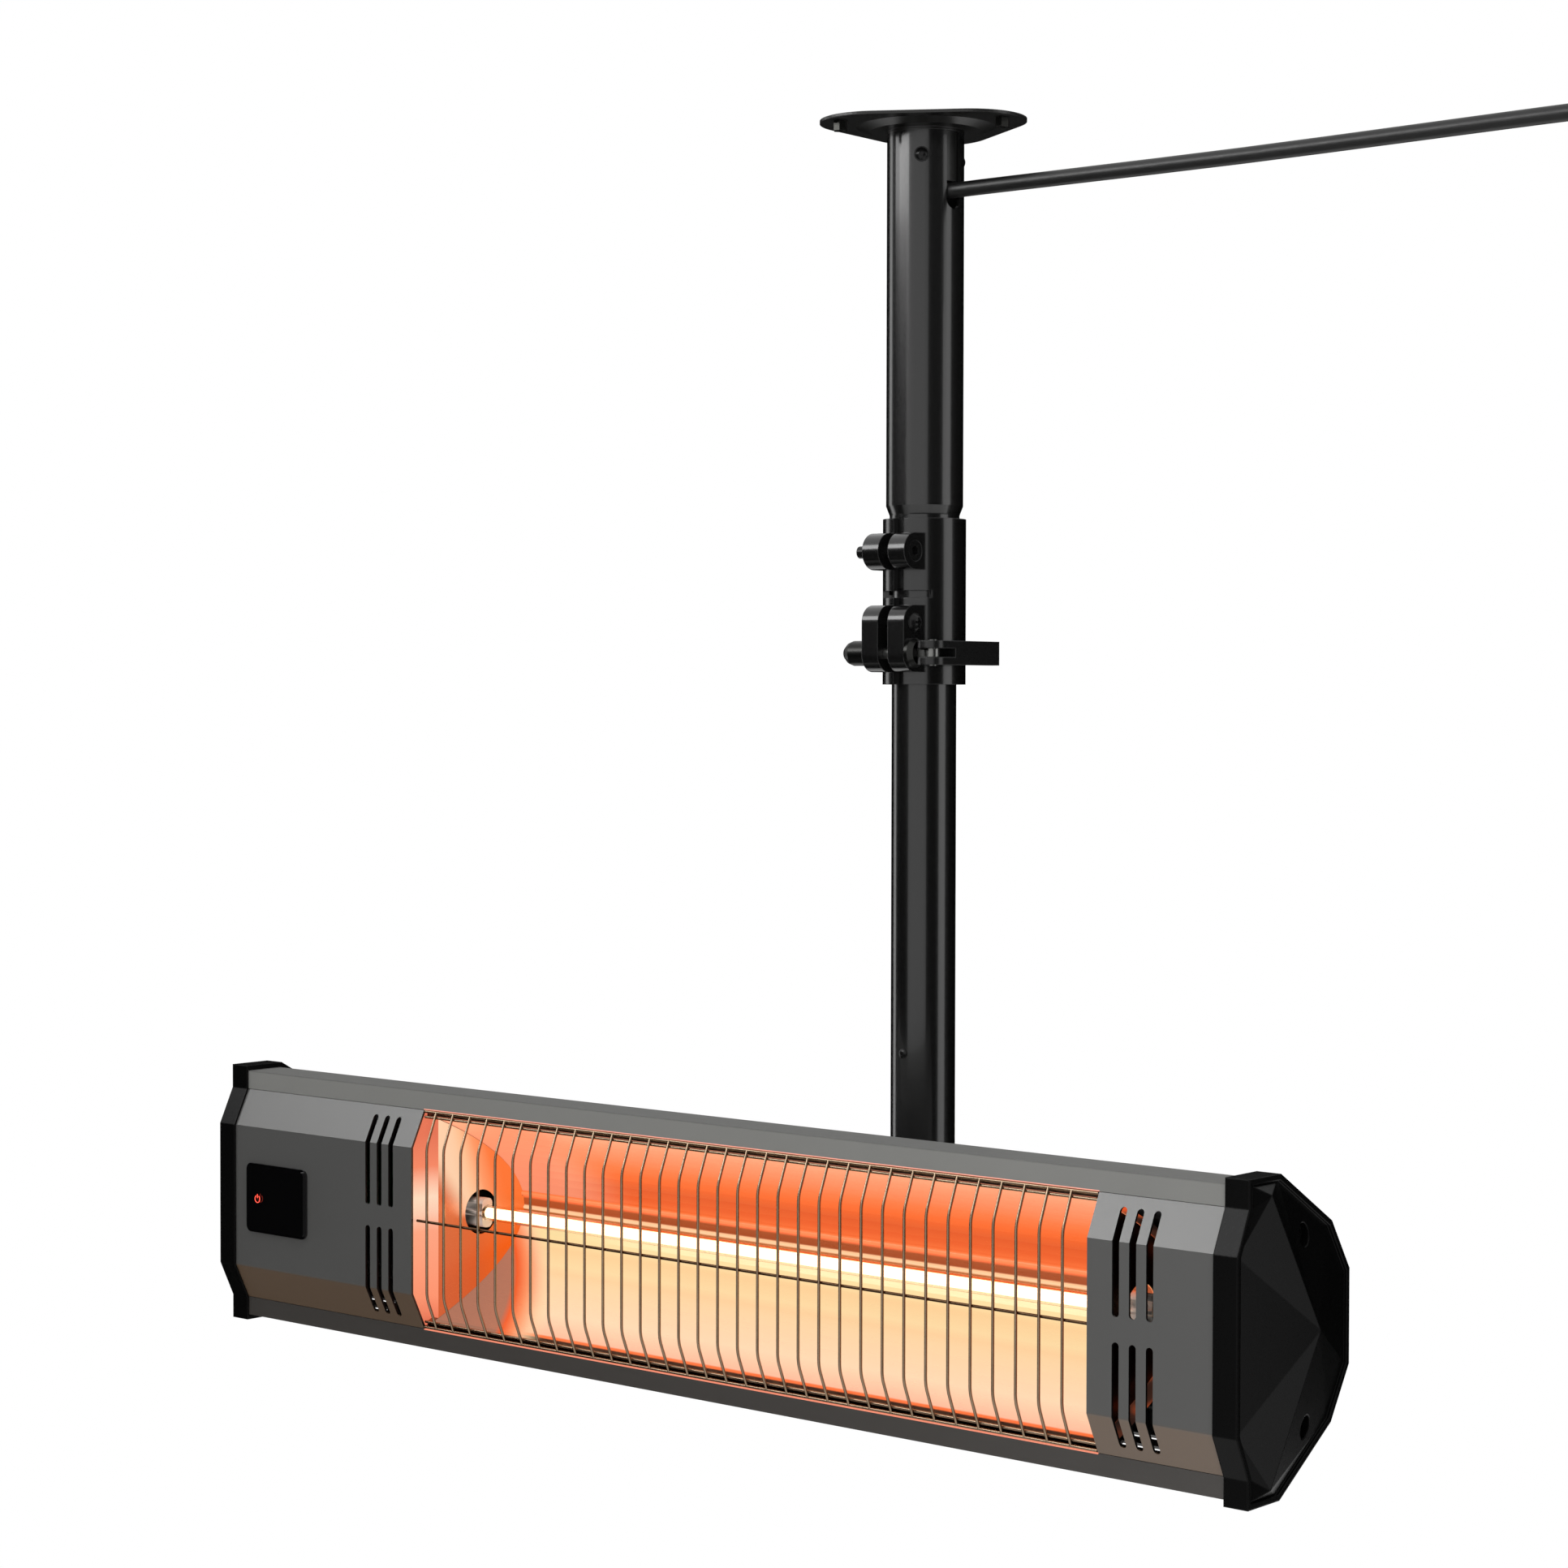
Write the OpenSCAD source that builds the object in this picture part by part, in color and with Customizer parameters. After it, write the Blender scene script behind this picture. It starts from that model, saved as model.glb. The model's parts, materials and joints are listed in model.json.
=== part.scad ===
// Ceiling infrared heater on a telescopic pole.
// The origin is where the pole's axis meets the ceiling, +Z is up, +X runs along the heater to its right end,
// and the heater's front faces -Y. All lengths are in millimetres.

/* [Ceiling plate] */
// Distance from the pole's axis to each side of the plate
plate_reach = 54.6; // [50:0.1:70]
// Radius of the plate's rounded corners
plate_corner_r = 38; // [20:1:40]
// Thickness of the plate's sheet
plate_t = 2; // [1.5:0.5:3]
// Direction that the plate's front side faces, from +X
plate_turn = -57.5; // [-90:0.5:-30]
// Radius of the circle of three ceiling studs
stud_circle_r = 60; // [56:0.5:62]
// Radius of a stud hole
stud_hole_r = 2.75; // [2.6:0.05:3.2]
// Outer radius of the pressed dish round the pole
dish_r = 45; // [42:0.5:48]
// Radius of the dish's flat middle
dish_face_r = 36; // [32:0.5:38]
// Depth of the dish below the plate
dish_depth = 3; // [2:0.5:4]
// Height of the ring that the upper tube butts on
socket_drop = 2; // [1:0.5:5]
// Length of the spigot inside the upper tube
spigot_len = 32; // [26:1:33]

/* [Upper tube] */
// Outer radius of the upper tube
upper_r = 25; // [24.5:0.5:26.5]
// Wall of the upper tube
upper_wall = 2; // [1.5:0.1:2]
// Length of the upper tube down to its taper
upper_len = 240; // [220:1:300]
// Height of the taper
taper_len = 6; // [4:0.5:8]
// Outer radius of the neck below the taper
neck_r = 22.7; // [22.5:0.1:23.2]
// Length of the neck that shows above the collar
neck_show = 2.5; // [1:0.5:4]
// Width of the cord slot
slot_w = 12; // [11:0.5:14]
// Length of the cord slot below the tube's top
slot_len = 50; // [48:1:60]
// Direction that the cord slot faces, from +X
slot_turn = -5; // [-10:1:5]
// Depth of the socket screws below the tube's top
socket_screw_drop = 16; // [12:1:22]

/* [Clamp collar] */
// Outer radius of the collar
collar_r = 27; // [26.5:0.5:29]
// Height of the collar
collar_h = 107; // [104:1:120]
// Width of the collar's split
split_w = 8; // [4:0.5:9]
// Height of the slit between the collar's two halves
slit_h = 4.6; // [3:0.2:6]
// Depth of the slit's top below the collar's top
slit_drop = 46.6; // [45:0.2:50]
// Reach of the slit to each side of the split, in degrees
slit_sweep = 49; // [40:1:60]
// Distance from the middle to the ears' outer faces
ear_x = 17.3; // [16:0.1:19]
// Distance from the pole's axis to the ears' front
ear_front = 43; // [42:0.5:46]
// Height of the upper ears
upper_ear_h = 23.6; // [22:0.2:26]
// Depth of the upper ears' top below the collar's top
upper_ear_drop = 9.8; // [6:0.2:14]
// Height of the lower ears
lower_ear_h = 43; // [42:0.5:46]
// Depth of the lower ears' top below the collar's top
lower_ear_drop = 56.2; // [55:0.2:58]
// Radius of the lower ears' front corners
lower_ear_round = 11; // [6:0.5:12]
// Radius of the clamp bolt
clamp_bolt_r = 4; // [3:0.5:4]

/* [Quick release] */
// Height of the release bolt's axis above the foot of the lower ears
release_lift = 12.2; // [11:0.2:14]
// Distance from the ears' outer face to the lever's pin
lever_pin_x = 16.2; // [15.8:0.2:20]
// Radius of the lever's cam
cam_r = 9.5; // [8:0.5:9.5]
// Height of the lever
lever_h = 15.4; // [14:0.2:18]
// Thickness of the lever's arm
lever_t = 7.5; // [5:0.5:8]
// Length of the lever from its pin
lever_len = 58; // [45:1:80]

/* [Lower tube] */
// Outer radius of the lower tube
lower_r = 21; // [20.5:0.1:21.2]
// Wall of the lower tube
lower_wall = 1.8; // [1.6:0.1:2]
// Depth of the lower tube's foot below the upper tube's taper
lower_drop = 425; // [400:1:500]
// Height of the glide ring
glide_h = 12; // [8:1:16]
// Radius of the cable
cable_r = 5; // [4:0.1:5]
// Outer radius of the coiled cable inside the pole
coil_r = 14.5; // [12:0.5:15]

/* [Tilt joint] */
// Distance from the pole's axis to the tilt axis
pivot_reach = 66; // [64:1:75]
// Depth of the tilt axis below the lower tube's foot
pivot_drop = 34; // [33:1:40]
// Radius of the joint's cheeks
cheek_r = 18; // [16:0.5:19]
// Half the gap between the joint's cheeks
cheek_gap = 9; // [8:0.5:10]
// Thickness of each cheek
cheek_t = 8; // [6:0.5:10]
// Radius of the tilt screws
pivot_screw_r = 5; // [4:0.5:6]
// Thickness of the yoke's steel
yoke_t = 4; // [3:0.5:5]

/* [Housing] */
// Half the length of the covers' span
half_len = 390; // [380:1:420]
// Half the height of the housing
half_h = 82.6; // [80:0.1:86]
// Distance from the pole's axis to the front
front_reach = 250.5; // [250:0.5:260]
// Depth of the whole housing behind the front
back_depth = 114; // [112:0.5:118]
// Depth of the lips behind the front
lip_depth = 11; // [9:0.5:12]
// Width of the flat top and foot
top_w = 27.5; // [25:0.5:30]
// Depth of the back's knees behind the front
knee_depth = 94.5; // [92:0.5:97]
// Height from the flat top down to the back's knees
knee_drop = 30.6; // [28:0.2:32]
// Half the height of the flat back
back_h = 26; // [24:0.5:28]
// Wall of the housing
shell_t = 2; // [1.5:0.1:2.5]
// Height of the face of each lip, above and below the front opening
lip_h = 12.1; // [11:0.1:13]
// Height of the covers' upper and lower slopes
bevel_h = 23.4; // [20:0.1:26]

/* [Front] */
// Length of the left cover up to the window
left_cover = 172.5; // [165:0.5:180]
// Length of the right cover up to the window
right_cover = 80.5; // [78:0.5:90]
// Thickness of the covers
cover_t = 1.5; // [1:0.1:2]
// Number of guard wires
wire_count = 33; // [25:1:40]
// Radius of a guard wire
wire_r = 0.9; // [0.7:0.1:1.1]
// Width of a vent slot
vent_w = 4.5; // [3:0.1:6]
// Distance between vent slots
vent_pitch = 10.9; // [9:0.1:13]
// Width of the receiver window
window_w = 60; // [50:1:70]
// Height of the receiver window
window_h = 46; // [40:1:54]

/* [Lamp] */
// Depth of the lamp's axis behind the front
lamp_depth = 57; // [52:1:60]
// Radius of the lamp's glass
lamp_r = 5; // [5:0.5:8]
// Radius of the glowing filament
filament_r = 3.4; // [1.5:0.1:3.6]
// Depth of the reflector's bottom behind the front
reflector_depth = 96.5; // [92:0.5:98]

/* [Cord] */
// Distance from the pole's axis to the ceiling box
box_x = 520; // [515:1:560]
// Radius of the ceiling box
box_r = 36; // [30:1:40]
// Depth of the ceiling box
box_h = 62; // [58:1:70]

/* [Hidden] */
$fn = 64;

// Overrun of a cut past a face, a running clearance, a loose clearance, and the gap of a piece on its seat
over = 1;
run_gap = 0.05;
loose_gap = 0.2;
seat_gap = 0.3;
right_angle = 90;
full_turn = 360;
third = full_turn / 3;

// Ceiling plate
plate_corner_c = 2 * (plate_reach - plate_corner_r);
plate_corner_steps = 24;
dish_z = -plate_t - dish_depth;
seam_z = dish_z - socket_drop;
spigot_r = upper_r - upper_wall - loose_gap;
spigot_wall = upper_wall;
nut_flat = 8;
nut_h = 6.2;
nut_bore_r = 2.1;
socket_screw_r = 2;
socket_head_r = 4.1;
socket_head_h = 2.3;
socket_flange_r = 4.9;
socket_flange_t = 0.6;
socket_hex_r = 1.4;

// Pole
taper_z = seam_z - upper_len;
neck_z = taper_z - taper_len;
collar_z = neck_z - neck_show;
slit_z = collar_z - slit_drop;
neck_end_z = slit_z + slit_h / 3;
collar_foot_z = collar_z - collar_h;
lower_z = taper_z - lower_drop;
glide_z = taper_z + over;
glide_groove = 0.6;
glide_split = 1.5;
lower_top_z = glide_z + glide_h + glide_h / 2;
lower_bore_r = lower_r - lower_wall;

// Collar
ear_root = collar_r - 9 * shell_t / 2;
upper_ear_z = collar_z - upper_ear_drop - upper_ear_h / 2;
lower_ear_z = collar_z - lower_ear_drop - lower_ear_h / 2;
ear_bolt_y = -(ear_front - upper_ear_h / 2);
clamp_head_r = 6.5;
clamp_head_h = 8;
clamp_hex_r = 3.4;
clamp_hex_h = 4;
clamp_bolt_end = 11;
guide_screw_r = 3;
guide_head_r = 6.2;
guide_head_h = 3.4;
guide_cross_w = 1.6;
guide_drop = 11.3;
guide_len = 24;
release_z = lower_ear_z - lower_ear_h / 2 + release_lift;
release_y = -34;
release_nut_r = 8.1;
release_nut_len = 20.5;
release_dome_shares = [[1, 0.62], [0.86, 0.78], [0.55, 0.93], [0.25, 1]];
washer_r = 9.5;
washer_nose_r = 7.8;
washer_rim_share = 0.4;
lever_x = ear_x + lever_pin_x;
lever_pin_r = 2.5;
lever_pin_head_r = 3.4;
lever_pin_head_h = 0.6;
lever_slot_h = 5.7;
lever_slot_len = 12;
eye_r = 4.9;
eye_h = 5.1;
eye_flat_share = 0.8;

// Tilt joint
pivot_y = -pivot_reach;
heater_z = lower_z - pivot_drop;
foot_shoulder = 8;
foot_bore_r = 14;
foot_spigot_len = 84;
foot_channel_r = cable_r + seat_gap;
foot_bend_r = 30;
foot_bend_z = heater_z + foot_bend_r;
foot_width = cheek_gap + cheek_t;
foot_back = 18;
foot_screw_rise = 70.5;
foot_screw_z = lower_z + foot_screw_rise;
foot_screw_r = 2.5;
foot_head_r = 3.3;
foot_head_h = 1.2;
disc_r = 15;
disc_t = 3.4;
yoke_inner = foot_width + seat_gap + disc_t + seat_gap;
yoke_arm_r = 17;
yoke_half_h = 22;
yoke_half_w = 44;
yoke_screw_x = 36;
yoke_screw_z = 14;
yoke_screw_r = 2.5;
yoke_head_flat = 8;
yoke_head_h = 3.5;
pivot_head_r = 9;
pivot_head_h = 6;
pivot_hex_r = 4.6;

// Feed, coil and tail of the cable in the pole
cord_z = seam_z - spigot_len - cable_r - 6 * loose_gap;
cord_y = upper_r * sin(slot_turn);
feed_bend_r = 34;
feed_x = -9.5;
feed_out_x = upper_r + over;
coil_top_z = cord_z - feed_bend_r;
coil_len = 320;
coil_foot_z = coil_top_z - coil_len;

// Housing outlines, as [y, z] from the heater's middle
front_y = -front_reach;
lip_y = front_y + lip_depth;
top_back_y = lip_y + top_w;
knee_y = front_y + knee_depth;
knee_h = half_h - knee_drop;
open_h = half_h - lip_h;
flat_h = open_h - bevel_h;
left_edge = left_cover - half_len;
right_edge = half_len - right_cover;
back_y = front_y + back_depth;
cap_overlap = 4;
housing_half = half_len + cap_overlap;
lip_return = 9;
lip_return_t = 1.8;
boss_depth = 63.5;
boss_y = front_y + boss_depth;
boss_gap = 3.5;
boss_r = 4.5;
cap_screw_r = 1.9;
boss_bore_r = cap_screw_r + 2 * run_gap;
boss_web = 2;
housing_outline = [[lip_y, half_h], [lip_y, -half_h], [top_back_y, -half_h], [knee_y, -knee_h],
    [back_y, -back_h], [back_y, back_h], [knee_y, knee_h], [top_back_y, half_h]];
louvre_w = 44;
louvre_h = 3;
louvre_pitch = 8;
louvre_count = 5;
louvre_inset = 72;
louvre_right = half_len - louvre_inset;
louvre_left = -louvre_right;

// End caps
cap_rim = 15;
cap_wall = 2.4;
cap_proud = 3.4;
cap_front_proud = 1.4;
cap_gap = 0.3;
cap_groove = 2;
cap_face = half_len + cap_rim;
cap_peak = cap_face + 6;
cap_back_face = cap_face - 5;
cap_floor = housing_half + 2;
cap_lip_y = lip_y - cap_front_proud;
cap_front_y = front_y - cap_front_proud;
cap_top = half_h + cap_proud;
cap_top_y = top_back_y + cap_front_proud;
cap_back_y = back_y + cap_proud;
cap_outline = [[cap_lip_y, cap_top], [cap_lip_y, open_h], [cap_front_y, flat_h], [cap_front_y, -flat_h],
    [cap_lip_y, -open_h], [cap_lip_y, -cap_top], [cap_top_y, -cap_top],
    [knee_y + cap_wall, -knee_h - cap_wall],
    [cap_back_y, -back_h], [cap_back_y, back_h], [knee_y + cap_wall, knee_h + cap_wall],
    [cap_top_y, cap_top]];
cap_ridge_depth = 23.5;
cap_ridge_drop = 5.6;
cap_apex_depth = 70.5;
cap_ridge_y = front_y + cap_ridge_depth;
cap_ridge_z = half_h - cap_ridge_drop;
cap_apex_y = front_y + cap_apex_depth;
cap_inset = 3;
cap_sink_r = 6.4;
cap_head_r = 3.7;
cap_head_h = 2.6;
cap_screw_len = 24;
gasket_t = 1.6;
gasket_w = 5;

// Covers and what they carry
cover_edge_h = open_h - seat_gap;
cover_flange = 10;
vent_low = 6.7;
vent_drop = 6.1;
vent_high = open_h - vent_drop;
left_vent_inset = 30.5;
right_vent_inset = 29.4;
left_vent_x = left_edge - left_vent_inset;
right_vent_x = right_edge + right_vent_inset;
window_inset = 42.2;
window_x = window_inset - half_len;
window_t = 2.6;
window_round = 4.5;
window_step = 1.5;
light_inset = 17.9;
light_x = window_x - light_inset;
light_r = 2.2;
board_t = 1.6;
board_gap = 6;
board_post_r = 2.5;
board_post_inset = 2;

cover_outline = [[lip_y, cover_edge_h], [front_y, flat_h], [front_y, -flat_h], [lip_y, -cover_edge_h],
    [lip_y + cover_flange, -cover_edge_h], [lip_y + cover_flange, cover_edge_h]];

// Guard
guard_depth = 3;
guard_end_depth = 11.5;
guard_y = front_y + guard_depth;
guard_end_y = front_y + guard_end_depth;
guard_end_z = open_h - seat_gap - wire_r;
guard_bend_z = flat_h + over;
guard_left_inset = 11.1;
guard_right_inset = 18.2;
guard_first = left_edge + guard_left_inset;
guard_last = right_edge - guard_right_inset;
guard_pitch = (guard_last - guard_first) / (wire_count - 1);
guard_rod_gap = 3.2;
guard_overlap = 0.4;
guard_sides = 8;

// Lamp and reflector
lamp_y = front_y + lamp_depth;
window_mid = (left_edge + right_edge) / 2;
end_plate_x = (right_edge - left_edge) / 2 + seat_gap;
end_plate_t = 1;
end_fold = 5.3;
end_hole_r = 14.5;
reflector_mouth_depth = 15;
reflector_front_y = front_y + reflector_mouth_depth;
reflector_y = front_y + reflector_depth;
end_fold_inset = 3.7;
end_fold_y = reflector_front_y + end_fold_inset;
reflector_drop = 4.5;
reflector_h = open_h - reflector_drop;
reflector_t = 1;
reflector_steps = 12;
reflector_reach = 6;
reflector_half = end_plate_x + reflector_reach;
reflector_span = reflector_y - reflector_front_y;
boss_z = reflector_h * sqrt((reflector_y - boss_y) / reflector_span) + reflector_t + boss_gap + boss_r;
ridge_r = 1.6;
ridge_z = 8;
rib_r = 0.9;
rib_z = -1.5;
lamp_reach = 22;
lamp_half = end_plate_x + lamp_reach;
glow_inset = 12.3;
glow_half = end_plate_x - glow_inset;
lead_in_r = 0.9;
lamp_wall = 1;
cap_r = 8;
cap_len = 30;
cap_socket = 4;
bracket_reach = 34;
bracket_x = end_plate_x + bracket_reach;
bracket_t = 2;
bracket_h = 20;
bracket_foot = 14;
bracket_top = 14;
lead_r = 2;
lead_z = 14;
loom_gap = 9;
loom_y = back_y - shell_t - loom_gap;

// Electrics in the left end
control_inset = 45;
control_x = control_inset - half_len;
control_w = 84;
control_h = 44;
control_post = 8;
chip_w = 18;
chip_h = 34;
terminal_x = -64;
terminal_w = 34;
terminal_h = 40;
terminal_t = 12;
loom_r = 3;
loom_z = 2 * loom_r;
heater_gland_r = 9;
heater_gland_len = 16;
heater_gland_in = 10;
heater_seal_r = 11.25;

// Ceiling box of the cord
box_wall = 2.4;
box_base_t = 4;
box_gland_len = 22;
box_gland_r = 10;
box_gland_nut_r = 12;
box_gland_neck_r = 8;
box_in = 12;

// The points of the cord's route from the slot to the ceiling box, and the sides of its tube
cord_route = [[26, -2.2, -45.2], [40, -2.2, -45.2], [62, -2.2, -45.3], [92, -2.2, -45.5], [122, -2.2, -45.7],
    [152, -2.2, -45.9], [182, -2.2, -46.1], [212, -2.2, -46.2], [242, -2.2, -46.3], [272, -2.2, -46.2],
    [302, -2.2, -46.1], [332, -2.2, -45.9], [362, -2.2, -45.7], [392, -2.2, -45.5], [422, -2.2, -45.3],
    [444, -2.2, -45.2], [462, -2.2, -45.2]];
cord_sides = 12;

function unit(v) = v / norm(v);
function edge_normal(a, b) = let (d = unit(b - a)) [-d[1], d[0]];
function mitre(a, b, c, t) =
    let (n1 = edge_normal(a, b), n2 = edge_normal(b, c)) b + t * (n1 + n2) / (1 + n1 * n2);
function inset(p, t) =
    let (n = len(p)) [for (i = [0 : n - 1]) mitre(p[(i + n - 1) % n], p[i], p[(i + 1) % n], t)];

// A tube along Z from z0 up to z1
module pipe(r, bore, z0, z1) {
    translate([0, 0, z0]) difference() {
        cylinder(r = r, h = z1 - z0);
        translate([0, 0, -over]) cylinder(r = bore, h = z1 - z0 + 2 * over);
    }
}

// A rod along X from x0 to x1
module rod_x(r, x0, x1, y = 0, z = 0, sides = $fn) {
    translate([x0, y, z]) rotate([0, right_angle, 0]) cylinder(r = r, h = x1 - x0, $fn = sides);
}

// A rod along -Y from y0 forward to y1
module rod_y(r, y0, y1, x = 0, z = 0) {
    translate([x, y0, z]) rotate([right_angle, 0, 0]) cylinder(r = r, h = y0 - y1);
}

// A block between two corners
module block(low, high) {
    translate(low) cube(high - low);
}

// Extrudes a shape drawn in [y, z] along X
module along_x(x0, x1) {
    translate([x0, 0, 0]) rotate([right_angle, 0, right_angle]) linear_extrude(x1 - x0) children();
}

// Extrudes a shape drawn in [x, z] along Y, from y0 forward to y1
module along_y(y0, y1) {
    translate([0, y0, 0]) rotate([right_angle, 0, 0]) linear_extrude(y0 - y1) children();
}

// A flat slot with round ends, from z0 up to z1
module slot_shape(w, z0, z1) {
    translate([0, z0 + w / 2]) circle(r = w / 2);
    translate([0, z1 - w / 2]) circle(r = w / 2);
    translate([-w / 2, z0 + w / 2]) square([w, z1 - z0 - w]);
}

// A rectangle with round corners, centred
module rounded(w, h, r) {
    square([w - 2 * r, h], center = true);
    square([w, h - 2 * r], center = true);
    for (x = [-1, 1], z = [-1, 1]) translate([x * (w / 2 - r), z * (h / 2 - r)]) circle(r = r);
}

// A quarter bend of a round bar in the XY plane, from +X to +Y
module bend(path_r, bar_r) {
    rotate_extrude(angle = right_angle) translate([path_r, 0]) circle(r = bar_r);
}

// A hexagonal bar with its bore
module hex_nut(flat, h, bore) {
    difference() {
        cylinder(r = flat / sqrt(3), h = h, $fn = 6);
        translate([0, 0, -over]) cylinder(r = bore, h = h + 2 * over);
    }
}

// A low domed screw head with a socket, rising along +Z from 0
module domed_head(r, h, socket_r) {
    ball_r = (r * r + h * h) / (2 * h);
    difference() {
        intersection() {
            translate([0, 0, h - ball_r]) sphere(r = ball_r);
            cylinder(r = r, h = h + over);
        }
        translate([0, 0, h / 2]) cylinder(r = socket_r, h = h, $fn = 6);
    }
}

// Places children at the plate's three sides or corners, out along +X
module three(turn) {
    for (i = [0 : 2]) rotate([0, 0, turn + i * third]) children();
}

// The plate's sheet, with short straight steps round its corners
module plate_sheet() translate([0, 0, -plate_t]) linear_extrude(plate_t)
    polygon([for (i = [0 : 2], k = [0 : plate_corner_steps])
        let (c = plate_turn + third / 2 + i * third, n = c - third / 2 + k * third / plate_corner_steps)
        plate_corner_c * [cos(c), sin(c)] + plate_corner_r * [cos(n), sin(n)]]);

module ceiling_plate() color("#26241f") difference() {
    union() {
        difference() {
            plate_sheet();
            translate([0, 0, -plate_t - over]) cylinder(r = dish_r - over / 2, h = plate_t + 2 * over);
        }
        rotate_extrude() polygon([[dish_r, 0], [dish_r - over, 0], [dish_face_r - over, -dish_depth],
            [spigot_r - spigot_wall, -dish_depth], [spigot_r - spigot_wall, seam_z - spigot_len],
            [spigot_r, seam_z - spigot_len], [spigot_r, seam_z], [upper_r, seam_z], [upper_r, dish_z],
            [dish_face_r, dish_z], [dish_r, -plate_t]]);
    }
    three(plate_turn + third / 2) translate([stud_circle_r, 0, -plate_t - over])
        cylinder(r = stud_hole_r, h = plate_t + 2 * over);
    three(plate_turn) rod_x(socket_screw_r + run_gap, 0, upper_r, z = seam_z - socket_screw_drop);
}

module ceiling_nuts() color("#3a3833") three(plate_turn + third / 2)
    translate([stud_circle_r, 0, -plate_t - nut_h]) hex_nut(nut_flat, nut_h, nut_bore_r);

module socket_screws() color("#1c1c1c") three(plate_turn) translate([0, 0, seam_z - socket_screw_drop]) {
    rod_x(socket_screw_r, spigot_r - spigot_wall - over, upper_r);
    rod_x(socket_flange_r, upper_r, upper_r + socket_flange_t);
    translate([upper_r + socket_flange_t, 0, 0]) rotate([0, right_angle, 0])
        domed_head(socket_head_r, socket_head_h, socket_hex_r);
}

module upper_tube() color("#2b2b2b") difference() {
    rotate_extrude() polygon([[upper_r - upper_wall, seam_z], [upper_r, seam_z], [upper_r, taper_z],
        [neck_r, neck_z], [neck_r, neck_end_z], [lower_r + run_gap, neck_end_z], [lower_r + run_gap, neck_z],
        [upper_r - upper_wall, taper_z]]);
    rotate([0, 0, slot_turn + right_angle]) along_y(0, -upper_r - over)
        slot_shape(slot_w, seam_z - slot_len, seam_z + slot_w);
    three(plate_turn) rod_x(socket_screw_r + 2 * run_gap, 0, upper_r + over, z = seam_z - socket_screw_drop);
}

module upper_ear_shape() {
    translate([-ear_front + upper_ear_h / 2, upper_ear_z]) circle(r = upper_ear_h / 2);
    translate([-ear_front + upper_ear_h / 2, upper_ear_z - upper_ear_h / 2])
        square([ear_front - upper_ear_h / 2 - ear_root, upper_ear_h]);
}

module lower_ear_shape() {
    corner = lower_ear_h / 2 - lower_ear_round;
    for (s = [-1, 1]) translate([-ear_front + lower_ear_round, lower_ear_z + s * corner])
        circle(r = lower_ear_round);
    translate([-ear_front, lower_ear_z - lower_ear_h / 2 + lower_ear_round])
        square([ear_front - ear_root, lower_ear_h - 2 * lower_ear_round]);
    translate([-ear_front + lower_ear_round, lower_ear_z - lower_ear_h / 2])
        square([ear_front - lower_ear_round - ear_root, lower_ear_h]);
}

module clamp_collar() color("#242424") difference() {
    union() {
        translate([0, 0, collar_foot_z]) cylinder(r = collar_r, h = collar_h);
        along_x(-ear_x, ear_x) {
            upper_ear_shape();
            lower_ear_shape();
        }
    }
    translate([0, 0, slit_z - slit_h / 2]) cylinder(r = neck_r + run_gap, h = slit_drop + slit_h / 2 + over);
    translate([0, 0, collar_foot_z - over]) cylinder(r = lower_r + run_gap, h = collar_h);
    block([-split_w / 2, -ear_front - over, collar_foot_z - over], [split_w / 2, 0, collar_z + over]);
    translate([0, 0, slit_z - slit_h]) rotate([0, 0, -right_angle - slit_sweep])
        rotate_extrude(angle = 2 * slit_sweep) square([collar_r + over, slit_h]);
    rod_x(clamp_bolt_r + loose_gap, -ear_x - over, ear_x, ear_bolt_y, upper_ear_z);
    rod_x(clamp_head_r + loose_gap, ear_x - clamp_head_h - loose_gap, ear_x + over, ear_bolt_y, upper_ear_z);
    rod_x(guide_screw_r + 2 * run_gap, ear_x - guide_len - over, ear_x + over, ear_bolt_y, guide_z());
    rod_x(clamp_bolt_r + loose_gap, -ear_x - over, ear_x + over, release_y, release_z);
}

function guide_z() = lower_ear_z + lower_ear_h / 2 - guide_drop;

module collar_bolt() color("#1a1a1a") difference() {
    union() {
        rod_x(clamp_bolt_r, -ear_x - clamp_bolt_end, ear_x - loose_gap, ear_bolt_y, upper_ear_z);
        rod_x(clamp_head_r, ear_x - clamp_head_h, ear_x - loose_gap, ear_bolt_y, upper_ear_z);
    }
    rod_x(clamp_hex_r, ear_x - clamp_hex_h, ear_x + over, ear_bolt_y, upper_ear_z, sides = 6);
}

module guide_screw() color("#1a1a1a") translate([ear_x, ear_bolt_y, guide_z()]) {
    rod_x(guide_screw_r, -guide_len, run_gap);
    translate([run_gap, 0, 0]) rotate([0, right_angle, 0]) difference() {
        domed_head(guide_head_r, guide_head_h, guide_cross_w);
        for (turn = [0, right_angle]) rotate([0, 0, turn])
            translate([0, 0, guide_head_h]) cube([guide_head_r, guide_cross_w, guide_head_h], center = true);
    }
}

module release_bolt() color("#7a7a78") difference() {
    union() {
        rod_x(clamp_bolt_r, -ear_x - release_nut_len / 2, lever_x - cam_r - over, release_y, release_z);
        translate([lever_x, release_y, release_z - eye_h / 2]) cylinder(r = eye_r, h = eye_h);
        flat = eye_flat_share * clamp_bolt_r;
        block([lever_x - cam_r - over, release_y - flat, release_z - eye_h / 2],
            [lever_x, release_y + flat, release_z + eye_h / 2]);
    }
    translate([lever_x, release_y, release_z - eye_h]) cylinder(r = lever_pin_r + run_gap, h = 2 * eye_h);
}

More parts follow.
